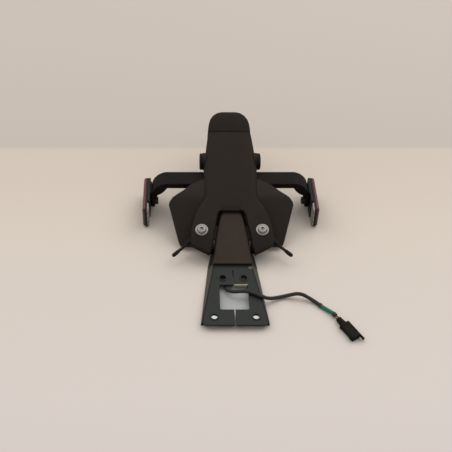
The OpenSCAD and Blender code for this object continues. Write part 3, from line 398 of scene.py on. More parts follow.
body = block(BODY_STATIONS, BODY_W, BODY_H, power=9.0)
LATCH_SIDE = 6.1
LATCH_STATIONS = [12.6, 12.8, 20, 30, 37.4, 38.0, 38.6, 38.8]
LATCH_W, LATCH_H = [1.0, 1.4, 1.3, 1.3, 1.4, 2.2, 2.2, 1.4], [3.0, 3.4, 3.4, 3.4, 3.4, 3.4, 3.4, 3.0]
latch = block(LATCH_STATIONS, LATCH_W, LATCH_H, 16, 7.0, LATCH_SIDE)
ROOT_FROM, ROOT_TO = 4.2, 6.2
ROOT_ALONG = np.array([12.6, 12.6, 14, 15.6, 15.6, 15.6, 14, 12.6])
ROOT_UP = np.array([0, 1.6, 1.6, 1.6, 0, -1.6, -1.6, -1.6])
root = np.stack([on_plug(x, ROOT_ALONG, ROOT_UP) for x in (ROOT_FROM, ROOT_TO)])
MOUTH_STATIONS = [PLUG_END - 0.02, PLUG_END + 0.05, PLUG_END + 0.05]
mouths = [block(MOUTH_STATIONS, [3.4, 3.4, 3.0], [3.8, 3.8, 3.4], 16, 6.0, x) for x in (-2.2, 2.2)]
housing = shell("connector_body", [body, latch, root, *mouths], nylon, ["connector_housing"])


# The mounting arm: 2.5 mm sheet steel, cut, folded and powder coated. The flat plate has a slit
# and a window; the arm rises behind the bend to a level seat for the cross bracket.
def dress(name, finish, edge_mm=0.3):
    """Gives a solid of the frame its finish and rounds its edges: weld, join flat faces, bevel."""
    solid = nodes[name]
    solid.data.materials.clear()
    solid.data.materials.append(finish.material)
    solid.data.polygons.foreach_set("use_smooth", np.ones(len(solid.data.polygons), bool))
    weld = solid.modifiers.new("weld", "WELD")
    weld.merge_threshold = 0.002 * MM
    flat = solid.modifiers.new("flat", "DECIMATE")
    flat.decimate_type = "DISSOLVE"
    flat.angle_limit = math.radians(0.5)
    bevel = solid.modifiers.new("edge", "BEVEL")
    bevel.width = edge_mm * MM
    bevel.segments = 3
    bevel.limit_method = "ANGLE"
    bevel.angle_limit = math.radians(32)
    weighted = solid.modifiers.new("normals", "WEIGHTED_NORMAL")
    weighted.keep_sharp = True


BEND_Y, WINDOW_REAR_Y, WINDOW_HALF = -58.0, -87.9, 15.2
CREASE_LEAN, CREASE_OUT = 0.172, 11.0


def coated_steel():
    """Powder coat: a fine orange peel and rub marks, with painted shade that makes the arm under the covers
    blacker.
    The plate's sides get a painted lighter tone for the light that falls on them, beyond a painted dark shade
    along the fold line, which lies CREASE_OUT off the middle line half way along the part and CREASE_LEAN
    further out for each millimetre to the front. A painted light strip lies along the window's rear edge."""
    finish = Finish("black powder coat", Specular_IOR_Level=0.2)
    peel = finish.noise(1.1, 3.0, 0.55)
    flow = finish.noise(24, 2.0)
    rubbed = finish.noise(3.5, 5.0, 0.7).step(0.66, 0.1)
    coat = finish.between(flow * 0.7 + peel * 0.3, (0.0115, 0.0145, 0.0135), (0.0165, 0.0196, 0.0180))
    coat = finish.between(rubbed * 0.5, coat, (0.042, 0.044, 0.042))
    across, along = finish.axis(0), finish.axis(1)
    past_crease = abs(across) + along * CREASE_LEAN - CREASE_OUT * MM
    # Past the fold line the plate's sides are painted a lighter tone, standing in for the light that falls on
    # them.
    coat = finish.between(past_crease.step(0.0, 0.5 * MM), coat, (0.062, 0.060, 0.049))
    # Painted shade: a dark line along the fold, on the plate only.
    fold_shade = 1 - abs(past_crease + 0.6 * MM).step(0.9 * MM, 0.6 * MM)
    on_plate = 1 - along.step((BEND_Y - 2) * MM, 2 * MM)
    coat = finish.between(fold_shade * on_plate, coat, (0.0035, 0.0035, 0.003))
    # Painted light: a pale strip along the window's rear edge.
    painted_window_light = 1 - abs(along - WINDOW_REAR_Y * MM).step(0.4 * MM, 0.2 * MM)
    painted_window_light = painted_window_light * across.step(0.0, 0.5 * MM) * (1 - across.step(WINDOW_HALF * MM, 0.4 * MM))
    coat = finish.between(painted_window_light, coat, (0.50, 0.48, 0.38))
    # Behind the bend the arm is painted near black, as shade under the covers.
    finish.set(Base_Color=finish.between(along.step(BEND_Y * MM, 4 * MM), coat, (0.006, 0.0055, 0.005)),
               Roughness=0.52 + peel * 0.08 - rubbed * 0.06)
    finish.relief(peel, 0.03)
    return finish


dress("mounting_arm", coated_steel(), 0.5)


# The four mounting bushes: steel eyelets rolled over the edges of the plate's holes, blackened.
def turned_grid(profile, at, axis, sides=48):
    """A profile of (radius, height) pairs in millimetres turned about an axis through a point."""
    axis = np.array(axis, float) / np.linalg.norm(axis)
    side = np.cross(axis, (0, 0, 1.0) if abs(axis[2]) < 0.9 else (1.0, 0, 0))
    side /= np.linalg.norm(side)
    other = np.cross(axis, side)
    turn = np.linspace(0, 2 * np.pi, sides, endpoint=False)
    ring = np.cos(turn)[:, None] * side + np.sin(turn)[:, None] * other
    r, h = np.array(profile, float).T * MM
    return np.array(at) + r[:, None, None] * ring[None] + h[:, None, None] * axis


def rounded(points, radius=0.3, steps=4):
    """A profile whose corners are rounded: each corner becomes a curve from a point a radius before it
    to one a radius after it, bent towards the corner by the square of the distance from its ends."""
    points = np.array(points, float)
    before, after = np.roll(points, 1, 0), np.roll(points, -1, 0)
    reach_b = np.linalg.norm(before - points, axis=1, keepdims=True)
    reach_a = np.linalg.norm(after - points, axis=1, keepdims=True)
    start = points + (before - points) * np.minimum(radius / reach_b, 0.45)
    end = points + (after - points) * np.minimum(radius / reach_a, 0.45)
    t = np.linspace(0, 1, steps + 1)[None, :, None]
    curve = (1 - t) ** 2 * start[:, None] + 2 * t * (1 - t) * points[:, None] + t ** 2 * end[:, None]
    return curve.reshape(-1, 2)


PLATE_TOP, MID_Y, PLATE_L, RISE = 7.0, 143.124, 82.5, math.radians(20)
eyelet = rounded([(3.3, -2.5), (3.3, 0.8), (4.8, 0.75), (4.8, 0.05), (4.0, 0), (4.0, -2.5)], 0.35)
blackened = Finish("blackened steel", Metallic=0.6, Specular_IOR_Level=0.3)
blackened_spots = blackened.noise(1.5, 4.0)
blackened.set(Base_Color=blackened.between(blackened_spots, (0.010, 0.010, 0.010), (0.035, 0.034, 0.032)),
              Roughness=0.5 + blackened.noise(0.8) * 0.15)
HOLES = [(s * 21.8, 10.7) for s in (-1, 1)] + [(s * 11.5, 65.0) for s in (-1, 1)]
hole_middles = [np.array([x, y - MID_Y, PLATE_TOP]) * MM for x, y in HOLES]
shell("mount_bush_eyelets", [turned_grid(eyelet, at, (0, 0, 1)) for at in hole_middles], blackened,
      ["mount_bushes"], ring=True)


# The blind rivet in the plate's corner: an aluminium head, domed, with the pin's pit in its middle.
zinc = Finish("dull zinc", Metallic=1.0)
zinc_spots = zinc.noise(1.6, 4.0, 0.6)
zinc.set(Base_Color=zinc.between(zinc_spots, (0.16, 0.15, 0.135), (0.40, 0.385, 0.355)),
         Roughness=0.42 + zinc.noise(0.7, 3.0) * 0.2)
zinc.relief(zinc_spots, 0.02)
RIVET_AT = np.array([19.35, 79.9 - MID_Y, PLATE_TOP]) * MM
rivet = [(0.02, -3.4), (1.3, -3.4), (1.5, -3.2), (1.5, 0), (2.2, 0), (2.3, 0.12), (2.15, 0.4),
         (1.75, 0.68), (1.25, 0.85), (0.9, 0.9), (0.75, 0.8), (0.7, 0.5), (0.02, 0.45)]
aged = Finish("aged aluminium", Metallic=0.3, Specular_IOR_Level=0.3)
aged.set(Base_Color=aged.between(aged.noise(0.8, 4.0), (0.060, 0.060, 0.054), (0.135, 0.130, 0.118)),
         Roughness=0.55 + aged.noise(1.6) * 0.1)
shell("arm_rivet_head", [turned_grid(rivet, RIVET_AT, (0, 0, 1), 32)], aged, ["arm_rivet"])


# The top cover: a hollow hump that flares into a fork, moulded in black ABS 2.6 mm thick with a
# spark finish. Its flat top is slightly crowned and the fork's rims are rolled over where they
# stand round the arm. Two screws clamp its prongs on the arm's ears.
def on_slope(x, u, w):
    """Points from millimetres across (x), up the slope from the arm's bend (u) and square to it (w)."""
    x, u, w = np.broadcast_arrays(np.asarray(x, float), u, w)
    y = PLATE_L - MID_Y + u * math.cos(RISE) - w * math.sin(RISE)
    z = PLATE_TOP + u * math.sin(RISE) + w * math.cos(RISE)
    return np.stack([x, y, z], -1) * MM


def slope_of(points):
    """Across, up and square to the slope, in millimetres, for points in metres."""
    x, y, z = points.T / MM
    y, z = y - (PLATE_L - MID_Y), z - PLATE_TOP
    return x, y * math.cos(RISE) + z * math.sin(RISE), z * math.cos(RISE) - y * math.sin(RISE)


SLOPE_UP = (0, -math.sin(RISE), math.cos(RISE))


def moulding(name, node, cuts, shape, rim, rim_mm, edge_mm, finish):
    """A copy of a solid: merged, cut along planes across its width, moved by a function of its place
    on the slope, and bevelled, with a wider bevel on the edges that the rim function picks."""
    mesh = nodes[node].data.copy()
    mesh.name = name
    mesh.materials.clear()
    work = bmesh.new()
    work.from_mesh(mesh)
    bmesh.ops.remove_doubles(work, verts=work.verts, dist=0.003 * MM)
    bmesh.ops.dissolve_limit(work, angle_limit=math.radians(0.4), verts=work.verts, edges=work.edges)
    for x in cuts:
        everything = work.verts[:] + work.edges[:] + work.faces[:]
        bmesh.ops.bisect_plane(work, geom=everything, plane_co=(x * MM, 0, 0), plane_no=(1, 0, 0),
                               dist=0.001 * MM)
    layer = work.edges.layers.float.new("bevel_weight_edge")
    for edge in work.edges:
        if len(edge.link_faces) == 2 and edge.calc_face_angle(0) > math.radians(30):
            edge[layer] = 1.0 if rim(*slope_of(np.array([v.co for v in edge.verts]))) else edge_mm / rim_mm
    work.to_mesh(mesh)
    work.free()
    points = np.empty(len(mesh.vertices) * 3, np.float32)
    mesh.vertices.foreach_get("co", points)
    x, u, w = slope_of(points.reshape(-1, 3).astype(float))
    mesh.vertices.foreach_set("co", on_slope(*shape(x, u, w)).astype(np.float32).ravel())
    mesh.polygons.foreach_set("use_smooth", np.ones(len(mesh.polygons), bool))
    mesh.materials.append(finish.material)
    made = bpy.data.objects.new(name, mesh)
    bpy.context.scene.collection.objects.link(made)
    bevel = made.modifiers.new("edge", "BEVEL")
    bevel.limit_method = "WEIGHT"
    bevel.width = rim_mm * MM
    bevel.segments = 4
    weighted = made.modifiers.new("normals", "WEIGHTED_NORMAL")
    weighted.keep_sharp = True
    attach(made, "root")
    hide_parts(node)
    return made


ARM_COVER_U, ARM_COVER_HALF, NARROWS_BY, NARROWS_MORE_BY = 2.0, 22.2, 0.082, 0.00121


def arm_cover_edge(u):
    """Half the width of the arm cover: it narrows evenly, and by the square of the distance from
    its front."""
    from_front = u - ARM_COVER_U
    return ARM_COVER_HALF - NARROWS_BY * from_front - NARROWS_MORE_BY * from_front ** 2


COVER_TOP, SEAM_U, FORK_U = 7.4, 171.0, 66.5
CROWN_U, CROWN_DROP, CROWN_FOOT, CROWN_H = 120.0, 0.9, -6.0, 10.0
CAP_L, CAP_CROWN, HUMP_HALF, CAP_HALF, CAP_TAPER = 40.0, 4.2, 30.0, 26.0, 6.0
REAR_WALL_FOOT, REAR_WALL_HALF, REAR_WALL_FROM, REAR_WALL_TO = 3.3, 27.0, 49.4, FORK_U + 3
FRONT_WALL_FOOT, FRONT_WALL_HALF, FRONT_WALL_TO = 0.5, 30.0, 25.0
WALL_GAP, WALL_LEAD, WALL_LOW = 0.3, 4.5, -5.0


def crowned_top(x, u, w):
    """Lowers the top towards its sides by the square of the distance from the middle, more at the
    cap's end, and leads the feet of the fork's inner walls down to the sides of the arm cover, in
    front of the arm's ears and behind them."""
    on_cap = np.clip((u - SEAM_U) / CAP_L, 0, 1)
    rear = np.clip((u - CROWN_U) / (SEAM_U - CROWN_U), 0, 1) + CAP_CROWN * on_cap ** 1.2
    upper = np.clip((w - CROWN_FOOT) / CROWN_H, 0, 1)
    half = np.where(u > SEAM_U, CAP_HALF - CAP_TAPER * on_cap, HUMP_HALF)
    crowned = w - CROWN_DROP * rear * np.clip(np.abs(x) / half, 0, 1.05) ** 2 * upper
    off_middle, arm_side = np.abs(x), arm_cover_edge(u) + WALL_GAP
    behind = (np.abs(w - REAR_WALL_FOOT) < 0.02) & (u > REAR_WALL_FROM) & (u < REAR_WALL_TO)
    in_front = (np.abs(w - FRONT_WALL_FOOT) < 0.02) & (u < FRONT_WALL_TO)
    foot = (behind & (off_middle < REAR_WALL_HALF)) | (in_front & (off_middle < FRONT_WALL_HALF))
    foot &= off_middle > arm_side
    inwards = np.sign(x) * np.maximum(arm_side, off_middle - WALL_LEAD)
    return np.where(foot, inwards, x), u, np.where(foot, WALL_LOW, crowned)


RIM_W, RIM_HALF, RIM_FROM, RIM_TO = 5.3, 26.5, 12.0, FORK_U + 1


def fork_rim(x, u, w):
    """The edges round the fork at the top face."""
    on_top = (w > RIM_W) & (np.abs(x) < RIM_HALF) & (u > RIM_FROM) & (u < RIM_TO)
    return bool(on_top.all())


PRONG_SHADE_Y, PRONG_SHADE_SPAN = -32.0, 26.0
cover_black = moulded("cover plastic", (0.0140, 0.0094, 0.0056), 0.5, 0.66, gloss=0.12)
# Painted shade: the prongs' fronts are painted darker, more so towards the front.
behind_prongs = cover_black.axis(1).step(PRONG_SHADE_Y * MM, PRONG_SHADE_SPAN * MM)
cover_black.paint(1 - behind_prongs, (0.0072, 0.0054, 0.0036))
moulding("top_cover_moulding", "top_cover", [-20, -13, -6.5, 0, 6.5, 13, 20], crowned_top, fork_rim, 2.6, 0.4,
         cover_black)


# The lamp cap: the black ABS end of the hump, held over the lamp by two screws. It carries the
# hump's crown on. A fine gap opens where the two meet, and painted shade on the cap's edge makes it a dark
# line.
def up_slope(finish):
    """The distance up the slope in a finish's nodes, in metres."""
    y0, z0 = (PLATE_L - MID_Y) * MM, PLATE_TOP * MM
    return (finish.axis(1) - y0) * math.cos(RISE) + (finish.axis(2) - z0) * math.sin(RISE)


SEAM_GAP, SEAM_DARK = 0.9, 1.75


def open_seam(x, u, w):
    """The same crown, with the cap's step drawn back so that a fine gap opens at the seam."""
    x, u, w = crowned_top(x, u, w)
    return x, np.where(np.abs(u - SEAM_U) < 0.1, SEAM_U + SEAM_GAP, u), w


def no_rim(x, u, w):
    """Picks no edge for the wider bevel."""
    return False


cap_black = moulded("cap plastic", (0.0098, 0.0072, 0.0042), 0.5, 0.68, gloss=0.08)
# Painted shade: the cap's edge at the seam is painted near black, as shade in the gap.
behind_seam = up_slope(cap_black).step((SEAM_U + SEAM_DARK) * MM, 0.3 * MM)
cap_black.paint(1 - behind_seam, (0.0012, 0.0010, 0.0008))
moulding("lamp_cap_moulding", "lamp_cap", np.linspace(-21, 21, 13), open_seam, no_rim, 0.6, 0.5,
         cap_black)


# The arm cover: a thin brownish black ABS moulding over the rising arm. It narrows upwards between
# the prongs and ends under the hump, where its upper end is painted dark as shade.
def plain(x, u, w):
    """Leaves every point where it is."""
    return x, u, w


def front_rim(x, u, w):
    """The top edge at the front of the arm cover."""
    return bool((w > 2.5).all() and (u < 2.5).all())


ARM_COVER_DARK_U, ARM_COVER_DARK_SPAN = 62.6, 2.5
brown_black = moulded("arm cover plastic", (0.0265, 0.0172, 0.0118), 0.6, 0.6, tone=0.2, gloss=0.16)
# Painted shade: the cover's upper end under the hump is painted near black.
under_hump = up_slope(brown_black).step(ARM_COVER_DARK_U * MM, ARM_COVER_DARK_SPAN * MM)
brown_black.paint(under_hump, (0.0035, 0.0028, 0.0022))
moulding("arm_cover_moulding", "arm_cover", [-12, -6, 0, 6, 12], plain, front_rim, 1.4, 0.35,
         brown_black)


# The cover screws: M6 button heads in dull zinc, each with a flange pressed onto the prong, a
# hexagon socket and a chamfered rim. They clamp the cover on the arm's ears.
FLANGE_R, HEAD_R, HEAD_H, DOME_FOOT, DOME_FLAT_R = 7.1, 5.25, 3.3, 1.1, 3.3
THREAD_R, THREAD_L, SOCKET_FLATS = 3.0, 13.9, 4.0


def socket_screw(at, sides=72):
    """Rings from the thread's end up over the flange and the dome, then down a hexagon socket, whose
    radius at a turn is half the flats over the cosine of the turn from the nearest flat's middle."""
    thread = [(0.02, -THREAD_L), (THREAD_R - 0.5, -THREAD_L), (THREAD_R, 0.5 - THREAD_L), (THREAD_R, -0.02)]
    flange = [(FLANGE_R - 0.2, 0), (FLANGE_R, 0.2), (FLANGE_R, 0.75), (FLANGE_R - 0.35, 1.05),
              (HEAD_R + 0.7, 1.15), (HEAD_R + 0.15, 1.0), (HEAD_R, DOME_FOOT)]
    share = np.linspace(0, 1, 9)[1:]
    dome_r = HEAD_R - (HEAD_R - DOME_FLAT_R) * share ** 1.6
    dome_h = DOME_FOOT + (HEAD_H - DOME_FOOT) * np.sin(share * np.pi / 2)
    grid = turned_grid([*thread, *flange, *zip(dome_r, dome_h)], at, SLOPE_UP, sides)
    turn = np.linspace(0, 2 * np.pi, sides, endpoint=False)
    hexagon = SOCKET_FLATS / 2 / np.cos((turn % (np.pi / 3)) - np.pi / 6)
    spokes = grid[len(thread)] - grid[len(thread)].mean(0)
    spokes /= np.linalg.norm(spokes, axis=1, keepdims=True)
    axis = np.array(SLOPE_UP)
    top = np.array(at) + HEAD_H * MM * axis
    socket = [top + spokes * (hexagon * grow)[:, None] * MM - drop * MM * axis
              for grow, drop in ((1.08, 0.0), (1.0, 0.2), (1.0, 1.7), (0.5, 2.0), (0.01, 2.1))]
    return np.concatenate([grid, np.stack(socket)])


SCREW_X, SCREW_U = 34.1, 41.0
screw_grids = [socket_screw(on_slope(s * SCREW_X, SCREW_U, COVER_TOP)) for s in (-1, 1)]
shell("cover_screws_heads", screw_grids, zinc, ["cover_screws"])


# The number plate panel: one black moulding with an upper leaf under the hump and two wings that
# fall away from it. Its edges are rounded and its face has a coarse spark finish.
panel_black = moulded("panel plastic", (0.0152, 0.0108, 0.0068), 0.7, 0.66, 0.03, gloss=0.16)
dress("plate_panel", panel_black, 0.7)


# The cross bracket: a 3 mm steel strap, 22 mm wide, bent down at both ends into flanges that
# carry the side reflectors, with a lip folded down along its front edge. Powder coated.
STRAP_T, STRAP_W, STRAP_TOP, STRAP_Y, STRAP_POWER = 3.0, 22.0, 43.518, 46.966, 1.75
BEND_X, FLANGE_X, FLANGE_TOP, FLANGE_FOOT = 74.5, 92.4, 26.0, 8.0
FLANGE_WIDENS_OVER, FLANGE_WIDER, FOOT_ROUND = 8.0, 2.0, 4.0


def strap_line():
    """The strap's middle from the part's middle to its foot: level, then a quarter of a superellipse
    down to the flange, then straight down. It gives x, z and the direction outwards at each point."""
    end_x, level_z = FLANGE_X - STRAP_T / 2, STRAP_TOP - STRAP_T / 2
    turn = np.linspace(0, np.pi / 2, 33)
    bend_x = BEND_X + (end_x - BEND_X) * np.sin(turn) ** (2 / STRAP_POWER)
    bend_z = FLANGE_TOP + (level_z - FLANGE_TOP) * np.cos(turn) ** (2 / STRAP_POWER)
    level_x = np.linspace(0, BEND_X, 12)[:-1]
    down_z = FLANGE_TOP - np.linspace(0, FLANGE_TOP - FLANGE_FOOT, 22)[1:]
    line = np.stack([np.concatenate([level_x, bend_x, np.full(len(down_z), end_x)]),
                     np.concatenate([np.full(len(level_x), level_z), bend_z, down_z])], -1)
    along = np.gradient(line, axis=0)
    along /= np.linalg.norm(along, axis=1, keepdims=True)
    return line, np.stack([-along[:, 1], along[:, 0]], -1)


def strap_grid(side):
    """Half of the strap: round each point of its middle, a rectangle with bevelled corners. It grows
    wider in the flange by a smooth step and is rounded off at the foot by a circle."""
    line, out = strap_line()
    drop = np.clip((FLANGE_TOP - line[:, 1]) / FLANGE_WIDENS_OVER, 0, 1)
    to_end = np.clip((line[:, 1] - FLANGE_FOOT) / FOOT_ROUND, 0, 1)
    half_w = STRAP_W / 2 + FLANGE_WIDER * drop ** 2 * (3 - 2 * drop)
    half_w = half_w - FOOT_ROUND * (1 - np.sqrt(1 - (1 - to_end) ** 2))
    corners = np.array([(1, 0.72), (0.975, 0.93), (0.93, 1), (-0.93, 1), (-0.975, 0.93), (-1, 0.72),
                        (-1, -0.72), (-0.975, -0.93), (-0.93, -1), (0.93, -1), (0.975, -0.93), (1, -0.72)])
    y = (STRAP_Y - drop)[:, None] + half_w[:, None] * corners[None, :, 0]
    off = STRAP_T / 2 * corners[None, :, 1]
    x = line[:, :1] + out[:, :1] * off
    z = line[:, 1:] + out[:, 1:] * off
    return np.stack([side * x, y, z], -1) * MM


LIP_DEPTH, LIP_BEND_DEPTH, LIP_FROM_X, LIP_FADES_AT, LIP_FADES_OVER = 3.8, 8.0, 27.5, 14.0, 12.0
LIP_ACROSS = np.array([0.3, 0, 0, 0.3, 1.7, 2.0, 2.0, 1.7])
LIP_SHARE = np.array([0, 0.1, 0.92, 1, 1, 0.92, 0.1, 0])


def lip_grid(side):
    """The lip folded inwards along the strap's front edge. It follows the strap's middle through the
    bend and fades out down the flange. It is deepest where the strap turns by 45 degrees."""
    line, out = strap_line()
    keep = line[:, 0] > LIP_FROM_X - 1.5
    line, out = line[keep], out[keep]
    line[0] = (LIP_FROM_X, line[0, 1])
    fade = np.clip((line[:, 1] - LIP_FADES_AT) / LIP_FADES_OVER, 0.02, 1)
    depth = (LIP_DEPTH + LIP_BEND_DEPTH * out[:, 0] * out[:, 1]) * fade
    y = np.broadcast_to(STRAP_Y - STRAP_W / 2 + 0.1 + LIP_ACROSS, (len(line), len(LIP_ACROSS)))
    off = -0.2 - (STRAP_T / 2 + depth[:, None]) * LIP_SHARE
    x = line[:, :1] + out[:, :1] * off
    z = line[:, 1:] + out[:, 1:] * off
    return np.stack([side * x, y, z], -1) * MM


def bar(low, high, edge):
    """A block between two corners in millimetres: a rounded outline in plan, drawn in at its foot and
    its head."""
    (x0, y0, z0), (x1, y1, z1) = low, high
    plan = rounded([(x0, y0), (x1, y0), (x1, y1), (x0, y1)], edge * 1.5)
    middle = np.array([(x0 + x1) / 2, (y0 + y1) / 2])
    reach = np.array([(x1 - x0) / 2, (y1 - y0) / 2])
    levels = [(z0, edge), (z0 + edge * 0.3, edge * 0.3), (z0 + edge, 0),
              (z1 - edge, 0), (z1 - edge * 0.3, edge * 0.3), (z1, edge)]
    return np.stack([np.column_stack([middle + (plan - middle) * (1 - inset / reach), np.full(len(plan), z)])
                     for z, inset in levels]) * MM


strap_black = moulded("bracket coat", (0.0060, 0.0036, 0.0022), 1.0, 0.6, 0.03, gloss=0.085)
FACING_X, FACING_IN, FACING_OUT = 93.35, 1.0, 0.95
strap_parts = []
for make in (strap_grid, lip_grid):
    strap_parts += [make(s) for s in (-1, 1)]
strap_parts += [bar((s * FACING_X - FACING_IN, 35.5, 8.0), (s * FACING_X + FACING_OUT, 56.4, 30.0), 0.6)
                for s in (-1, 1)]
shell("reflector_bracket_strap", strap_parts, strap_black, ["reflector_bracket"])


# The side reflectors: a red acrylic lens with cube corner prisms behind a domed face, in a black
# carrier whose stud passes through the flange, and an off white ribbed back plate.
REFLECTOR_Y, REFLECTOR_Z, REFLECTOR_L, REFLECTOR_H = 36.666, 14.3, 57.0, 28.6
STUD_Y, STUD_Z = REFLECTOR_Y + 1.5, 15.8
CORNER_R, TOP_CORNER_R = 4.0, 1.8
CARRIER_X, LENS_X, DOME_X, DOME_H = 97.2, 99.4, 100.5, 2.3


def outline(inset, steps=10):
    """A rounded rectangle: the middles of its corners, each with a quarter of a circle about it. The
    circle of the top rear corner is smaller than the others."""
    turn = np.linspace(0, np.pi / 2, steps)
    quarter = np.concatenate([turn, turn + np.pi / 2, turn + np.pi, turn + 1.5 * np.pi])
    sign_y = np.repeat([1, -1, -1, 1], steps)
    sign_z = np.repeat([1, 1, -1, -1], steps)
    r = np.maximum(np.repeat([TOP_CORNER_R, CORNER_R, CORNER_R, CORNER_R], steps) - inset, 0.2)
    y = sign_y * (REFLECTOR_L / 2 - inset - r) + r * np.cos(quarter)
    z = sign_z * (REFLECTOR_H / 2 - inset - r) + r * np.sin(quarter)
    return REFLECTOR_Y + y, REFLECTOR_Z + z


def pressed(side, rows):
    """A plate seen from the side: one outline for each (distance out, inset) pair of its rows."""
    grid = []
    for out, inset in rows:
        y, z = outline(inset)
        grid.append(np.stack([np.full(len(y), side * out), y, z], -1))
    return np.stack(grid) * MM


RIBS_FROM, RIBS_TO, RIB_PITCH_Y, RIB_DEPTH = 9.2, 23.0, 3.6, 0.6
BACK_X, BACK_INSET, BACK_ROUND = 95.3, 0.8, 3.6


def ribbed_back(side):
    """A plate whose inner face waves along its length: at each height its outline is the closed line
    of the ribs, and near its head and foot it is drawn in by the corners' circle."""
    y = np.linspace(-1, 1, 77)
    middle, half_l = (RIBS_FROM + RIBS_TO) / 2, (RIBS_TO - RIBS_FROM) / 2
    half_h = REFLECTOR_H / 2 - BACK_INSET
    rib = np.clip(np.sin(y * half_l * 2 * np.pi / RIB_PITCH_Y) * 1.4, -1, 1) * 0.5 + 0.5
    closed_y = np.concatenate([y, y[::-1]])
    closed_x = np.concatenate([BACK_X + RIB_DEPTH * (1 - rib), np.full(len(y), CARRIER_X)])
    z = half_h * np.sin(np.linspace(-np.pi / 2, np.pi / 2, 29))
    near = np.clip((np.abs(z) - (half_h - BACK_ROUND)) / BACK_ROUND, 0, 1)
    reach = half_l - BACK_ROUND * (1 - np.sqrt(1 - near ** 2))
    rib_y = middle + closed_y * reach[:, None]
    return np.stack(np.broadcast_arrays(side * closed_x, rib_y, (REFLECTOR_Z + z)[:, None]), -1) * MM


red = Finish("red lens", Specular_IOR_Level=0.4, Coat_Weight=0.2, Coat_Roughness=0.1)
prism = red.cells(2.4)
fleck = red.noise(6, 3.0)
deep_red = red.between(fleck, (0.020, 0.0016, 0.0024), (0.034, 0.0022, 0.0034))
glass = red.between(prism * 450, deep_red, (0.082, 0.0034, 0.0060))
# Painted shade: the lens's front end face is painted dark.
shaded_front_end = red.axis(1).step((REFLECTOR_Y - REFLECTOR_L / 2 + 0.9) * MM, 0.5 * MM)
red.set(Base_Color=red.between(shaded_front_end, (0.016, 0.0045, 0.0045), glass), Roughness=0.22 + fleck * 0.1)
red.relief(prism, 0.3)
carrier_black = moulded("carrier rubber", (0.0105, 0.0085, 0.0070), 0.5, 0.6)
ivory = Finish("back plate plastic", Specular_IOR_Level=0.3, Roughness=0.5)
GROOVE_FROM, GROOVE_TO, STRIPE_UP, STRIPE_OUT = 95.52, 96.02, 7.0, 4.0
dirt = ivory.noise(3.5, 4.0, 0.6)
outwards = abs(ivory.axis(0))
# Painted shade: the grooves between the back plate's ribs are painted dark.
groove = outwards.step(GROOVE_FROM * MM, 0.2 * MM) * (1 - outwards.step(GROOVE_TO * MM, 0.1 * MM))
# Darker slanting stripes over the back plate.
slant = ivory.axis(2) * (2 * math.pi / (STRIPE_UP * MM)) + outwards * (2 * math.pi / (STRIPE_OUT * MM))
plastic = ivory.between(dirt, (0.34, 0.315, 0.28), (0.50, 0.47, 0.42))
plastic = ivory.between(slant.sin().step(0.45, 0.5) * 0.75, plastic, (0.09, 0.083, 0.072))
ivory.set(Base_Color=ivory.between(groove, plastic, (0.055, 0.050, 0.045)))
ivory.relief(dirt, 0.02)

STUD_HOLE, DOME_INSET = 13.9, 5.0
lens_rows = [(LENS_X, 0.3), (99.5, 0.05), (99.7, 0), (100.3, 0), (DOME_X, 0.15)]
lens_rows += [(DOME_X + DOME_H * np.sin(t * np.pi / 2), 0.3 + DOME_INSET * t ** 1.8)
              for t in np.linspace(0.08, 1, 10)]
lens_rows += [(DOME_X + DOME_H, inset) for inset in (9, 12, STUD_HOLE)]
holder_rows = [(CARRIER_X, STUD_HOLE), (CARRIER_X, 6), (CARRIER_X, 0.5), (97.35, 0.1), (97.6, 0), (99.0, 0),
               (99.25, 0.1), (LENS_X, 0.4), (LENS_X, STUD_HOLE)]
stud_profile = rounded([(0.02, -9.8), (2.3, -9.8), (2.5, -9.5), (2.5, 0.4), (0.02, 0.4)], 0.1)
PAD_X, PAD_HALF_T, PAD_FRONT_FOOT, PAD_REAR_HEAD = 95.75, 1.45, (23.2, 1.6), (65.1, 28.5)
for word, side in (("left", -1), ("right", 1)):
    shell(f"{word}_reflector_prisms", [pressed(side, lens_rows)], red, [f"{word}_reflector_lens"])
    stud_at = np.array([side * CARRIER_X, STUD_Y, STUD_Z]) * MM
    stud = turned_grid(stud_profile, stud_at, (side, 0, 0), 28)
    pad = bar((side * PAD_X - PAD_HALF_T, *PAD_FRONT_FOOT), (side * PAD_X + PAD_HALF_T, *PAD_REAR_HEAD), 0.8)
    shell(f"{word}_reflector_holder", [pressed(side, holder_rows), stud, pad], carrier_black,
          [f"{word}_reflector_carrier"])
    shell(f"{word}_reflector_ribs", [ribbed_back(side)], ivory,
          [f"{word}_reflector_backing"])


# The indicator bushes: soft black rubber, pushed into the hump's sides, with a groove behind a
# rounded outer flange and a bore that grips the stem of an indicator.
rubber = moulded("rubber", (0.0062, 0.0050, 0.0040), 0.4, 0.72, gloss=0.18)
BUSH_FACE = 4.4
bush = rounded([(4.2, -5.5), (4.2, BUSH_FACE), (8.2, BUSH_FACE), (10, 3.2), (10, 2.2), (9.3, 1.9), (9.3, 1.5),
                (10, 1.2), (10, 0.02), (6.35, 0), (6.35, -5.5)], 0.45, 3)
for word, side in (("left", -1), ("right", 1)):
    low, high = (np.array(corner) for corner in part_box(f"{word}_indicator_bush"))
    face = high[0] if side > 0 else low[0]
    at = np.array([face - side * BUSH_FACE * MM, (low[1] + high[1]) / 2, (low[2] + high[2]) / 2])
    shell(f"{word}_indicator_grommet", [turned_grid(bush, at, (side, 0, 0), 56)], rubber,
          [f"{word}_indicator_bush"], ring=True)


